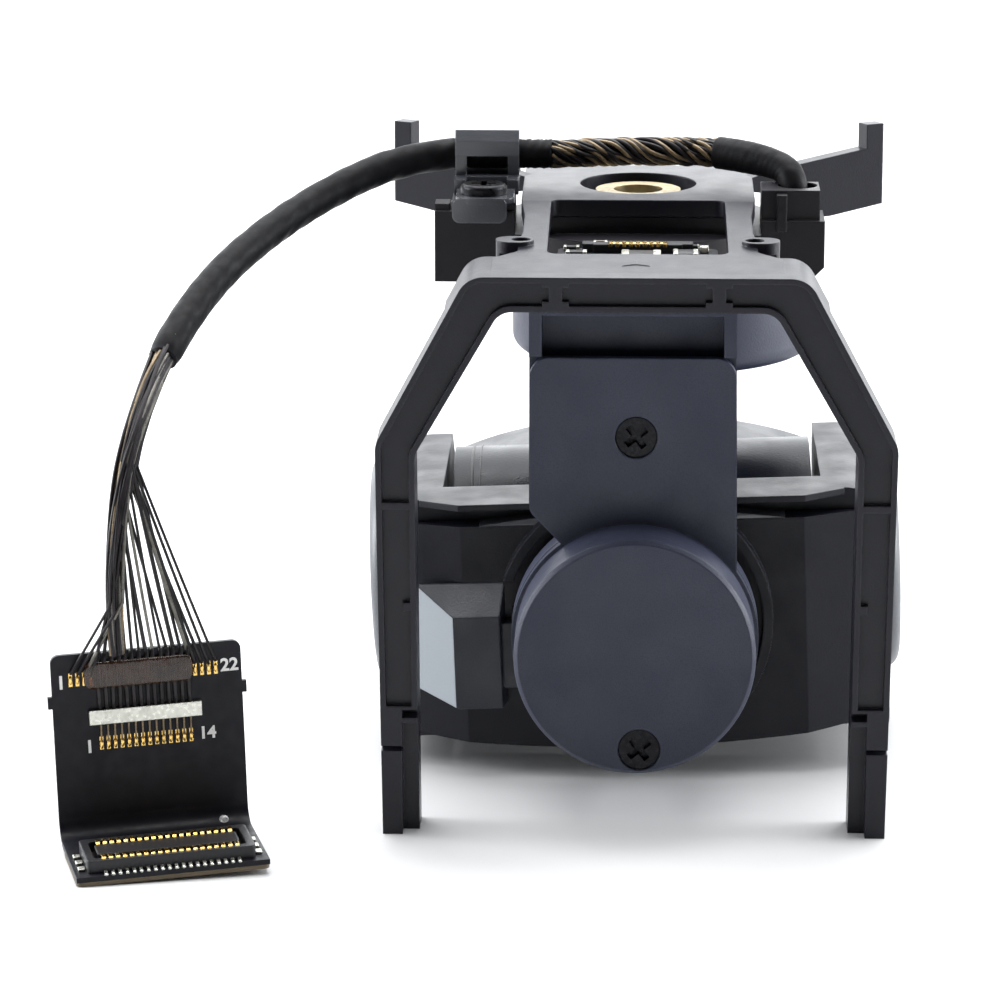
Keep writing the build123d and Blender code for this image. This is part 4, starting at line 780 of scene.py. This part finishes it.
def make_contacts():
    """Two rows of gold contacts that bend over the connector's walls, with tinned tails outside."""
    shape = bmesh.new()
    columns = 20
    width = 0.115
    for k in range(columns):
        across = (k - (columns - 1) / 2) * PAD_PITCH
        for side in (-1, 1):
            row = CONNECTOR_AT + side * ROW_OUT
            wall = 0.34
            over = [
                (row - side * wall, FLANGE_TOP + 0.3),
                (row - side * wall, CONNECTOR_TOP - 0.04),
                (row - side * (wall - 0.1), CONNECTOR_TOP + 0.05),
                (row + side * (wall - 0.1), CONNECTOR_TOP + 0.05),
                (row + side * wall, CONNECTOR_TOP - 0.04),
                (row + side * wall, FLANGE_TOP + 0.25),
            ]
            strip(shape, across, width, over, 0.05, 0)
            tail = CONNECTOR_AT + side * 1.95
            foot = [
                (tail, FLANGE_TOP + 0.12),
                (tail + side * 0.25, FLANGE_TOP + 0.1),
                (tail + side * 0.5, FLANGE_TOP + 0.03),
            ]
            strip(shape, across, width * 0.8, foot, 0.08, 1)
            dome(shape, on_flange_at(FLANGE_TOP), (across, tail + side * 0.36), (0.13, 0.2), 0.13, material=1)
    for side in (-1, 1):
        for out in (-1.1, 0.0, 1.1):
            pad = rounded_box(0.42, 0.55, 0.1, (side * 5.05, CONNECTOR_AT + out))
            slab(shape, pad, on_flange, FLANGE_TOP, 0.16, bevel=0.05, material=1)
    mesh = mesh_from(shape, "contact_rows", smooth=False)
    contacts = piece("contact_rows", mesh, "mount", "gold", FINISHES["gold"], FINISHES["tin"])
    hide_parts("connector_contacts", "connector_tails")
    return contacts


def on_flange_at(level):
    """Like on_flange, but counted up from a level."""
    return lambda u, v, w: board_point(u, v, level + w)


def strip(shape, across, half, path, thick, material):
    """Adds a thin bent strip of metal that follows path, a list of places out from the foot and up."""
    rings = []
    last = len(path) - 1
    for i, (out, up) in enumerate(path):
        before = path[max(0, i - 1)]
        after = path[min(last, i + 1)]
        run = (after[0] - before[0], after[1] - before[1])
        size = math.hypot(*run) or 1
        normal = (-run[1] / size * thick / 2, run[0] / size * thick / 2)
        ring = []
        for u, sign in ((-half, 1), (half, 1), (half, -1), (-half, -1)):
            place = board_point(across + u, out + sign * normal[0], up + sign * normal[1])
            ring.append(shape.verts.new(place))
        rings.append(ring)
    for a, b in zip(rings, rings[1:]):
        for k in range(4):
            shape.faces.new((a[k], a[(k + 1) % 4], b[(k + 1) % 4], b[k])).material_index = material
    shape.faces.new(rings[0][::-1]).material_index = material
    shape.faces.new(rings[-1]).material_index = material


def make_parts_on_yaw_board():
    """Small components along the edge of the board under the plate's window."""
    shape = bmesh.new()
    base = 32.4
    parts = [
        (-3.9, -11.2, 0.9, 0.5, 0.25, 1),
        (-2.2, -11.0, 0.8, 0.45, 0.5, 0),
        (2.55, -11.1, 0.7, 0.5, 0.45, 0),
        (3.35, -10.95, 0.5, 0.35, 0.3, 1),
        (3.9, -11.7, 0.5, 0.6, 0.35, 0),
        (-3.6, -13.0, 1.2, 0.7, 0.3, 1),
        (2.8, -13.6, 1.4, 1.4, 0.4, 1),
        (0.2, -14.4, 2.2, 1.8, 0.45, 1),
    ]
    for x, y, width, depth, height, kind in parts:

        def flat(u, v, w, x=x, y=y):
            return at(x + u, y + v, base + w)

        slab(shape, rounded_box(width, depth, 0.05), flat, 0.0, height, bevel=0.04, material=kind)
        for side in (-1, 1):
            cap = rounded_box(width * 0.2, depth * 1.06, 0.03, (side * width * 0.42, 0))
            slab(shape, cap, flat, 0.0, height * 1.05, bevel=0.03, material=2)

    def on_plug(u, v, w):
        return at(u, v, base + 0.5 + w)

    for k in range(8):
        dome(shape, on_plug, (-1.4 + k * 0.4, -11.75), (0.13, 0.22), 0.09, material=3)
    piece(
        "yaw_board_parts",
        mesh_from(shape, "yaw_board_parts"),
        "mount",
        "tin",
        CERAMIC,
        FINISHES["connector_black"],
        FINISHES["tin"],
        FINISHES["gold"],
    )


def make_clip_back():
    """The dark back wall between the clip's posts."""
    shape = bmesh.new()
    outline = [(-10.9, 34.0), (-7.5, 34.0), (-7.5, 36.9), (-10.9, 36.9)]
    slab(shape, outline, lambda u, v, w: at(u, 1.15 + w, v), 0.0, 0.3, bevel=0.05)
    piece("clip_back", mesh_from(shape, "clip_back"), "mount", "clip_plastic", FINISHES["connector_black"])


def make_gate_mark():
    """The three-armed mark that the moulding gate left on the plate."""
    shape = bmesh.new()
    outline = []
    for k in range(12):
        angle = 2 * math.pi * k / 12 + math.pi / 2
        reach = (0.95, 0.22, 0.18, 0.22)[k % 4]
        outline.append((reach * math.cos(angle), reach * math.sin(angle)))
    slope = 0.074

    def on_plate(u, v, w):
        return at(u - 0.1, -20.5 + v, 33.365 + slope * v + w)

    slab(shape, outline, on_plate, -0.1, 0.14, bevel=0.03)
    piece("gate_mark", mesh_from(shape, "gate_mark"), "mount", "carrier_plastic", FINISHES["connector_black"])


def make_glossy_lip():
    """The glossy crowned lip in the gap between the roll bracket's ledge and its back cover."""
    shape = bmesh.new()
    outline = [(9.4, 15.55)]
    for k in range(25):
        x = 9.4 - 18.8 * k / 24
        outline.append((x, 15.62 + 0.72 * (1 - (x / 9.4) ** 2)))
    outline.append((-9.4, 15.55))
    slab(shape, outline, lambda u, v, w: at(u, -10.22 + w, v), 0.0, 2.6, bevel=0.12, segments=3)
    mesh = mesh_from(shape, "glossy_lip")
    hang(mesh)
    piece("glossy_lip", mesh, "roll", "clip_plastic")


def make_shell_seams():
    """Two fine seams that run over the camera's rear shell, beside its left end."""
    shape = bmesh.new()
    for x, width, rise in ((-9.95, 0.10, 0.03), (-9.45, 0.05, 0.05)):
        rings = []
        for k in range(41):
            angle = math.radians(20 + 150 * k / 40)
            ring = []
            for u, r in ((-width, 7.45), (-width, 7.5 + rise), (width, 7.5 + rise), (width, 7.45)):
                ring.append(
                    shape.verts.new(at(x + u, PITCH_Y - r * math.cos(angle), ROLL_Z + r * math.sin(angle)))
                )
            rings.append(ring)
        for a, b in zip(rings, rings[1:]):
            for k in range(4):
                shape.faces.new((a[k], a[(k + 1) % 4], b[(k + 1) % 4], b[k]))
        shape.faces.new(rings[0][::-1])
        shape.faces.new(rings[-1])
    mesh = mesh_from(shape, "shell_seams")
    hang(mesh)
    piece("shell_seams", mesh, "camera", "camera_shell", FINISHES["connector_black"])


make_bundle()
make_wraps()
make_lead()
make_parts_on_yaw_board()
make_clip_back()
make_gate_mark()
make_glossy_lip()
make_shell_seams()

# ---- floor, light and camera -------------------------------------------------------------------


def make_floor():
    """A flat white sheet that carries the part."""
    shape = bmesh.new()
    reach = 3.0
    corners = [(-reach, -reach, 0), (reach, -reach, 0), (reach, reach, 0), (-reach, reach, 0)]
    shape.faces.new([shape.verts.new(corner) for corner in corners])
    mesh = mesh_from(shape, "floor")
    floor = bpy.data.objects.new("floor", mesh)
    bpy.context.scene.collection.objects.link(floor)
    finish = Finish("floor", (0.62, 0.62, 0.62), 0.6)
    finish.mottle(0.02, (0.6, 0.6, 0.603))
    finish.grain(0.8, 0.02)
    mesh.materials.append(finish.material)


DIM_FRONT = 0.05            # strength of the surroundings behind the camera and behind the part
BRIGHT_BACK = 3.2
TOP_POWER = 2.5
SIDE_POWER = 1.5


def area_light(name, place, size, power, colour=(1, 1, 1)):
    """A soft box that faces the middle of the part."""
    light = bpy.data.lights.new(name, "AREA")
    light.shape = "RECTANGLE"
    light.size, light.size_y = size
    light.energy = power
    light.color = colour
    holder = bpy.data.objects.new(name, light)
    bpy.context.scene.collection.objects.link(holder)
    holder.location = place
    middle = Vector((0, 0, 0.018))
    holder.rotation_euler = (middle - Vector(place)).to_track_quat("-Z", "Y").to_euler()


def make_light():
    """A bright white sweep behind and overhead, a dim room in front, and soft boxes at the sides."""
    world = bpy.data.worlds.new("studio")
    world.use_nodes = True
    bpy.context.scene.world = world
    tree = world.node_tree
    background = tree.nodes["Background"]
    coordinates = tree.nodes.new("ShaderNodeTexCoord")
    split = tree.nodes.new("ShaderNodeSeparateXYZ")
    tree.links.new(coordinates.outputs["Generated"], split.inputs[0])
    depth = tree.nodes.new("ShaderNodeMapRange")
    depth.interpolation_type = "SMOOTHSTEP"
    limits = {"From Min": -0.5, "From Max": 0.7, "To Min": DIM_FRONT, "To Max": BRIGHT_BACK}
    for key, number in limits.items():
        depth.inputs[key].default_value = number
    tree.links.new(split.outputs["Y"], depth.inputs["Value"])
    tree.links.new(depth.outputs["Result"], background.inputs["Strength"])
    background.inputs["Color"].default_value = (0.96, 0.98, 1.0, 1)
    area_light("top_box", (0.0, 0.06, 0.45), (0.45, 0.35), TOP_POWER)
    area_light("left_box", (-0.36, 0.03, 0.12), (0.16, 0.22), SIDE_POWER, (0.95, 0.97, 1.0))
    area_light("right_box", (0.36, 0.03, 0.12), (0.16, 0.22), SIDE_POWER, (0.95, 0.97, 1.0))


def make_camera():
    """Behind the part, a little above it, with a long lens."""
    camera = bpy.data.cameras.new("camera")
    camera.sensor_width = 36
    camera.lens = 159.48
    camera.clip_start = 0.01
    holder = bpy.data.objects.new("camera", camera)
    bpy.context.scene.collection.objects.link(holder)
    holder.location = at(0, -267.8, 81.2)
    holder.rotation_euler = (math.radians(90 - 14), 0, math.radians(1.81))
    bpy.context.scene.camera = holder
    bpy.context.scene.view_settings.view_transform = "Standard"


make_floor()
make_light()
make_camera()
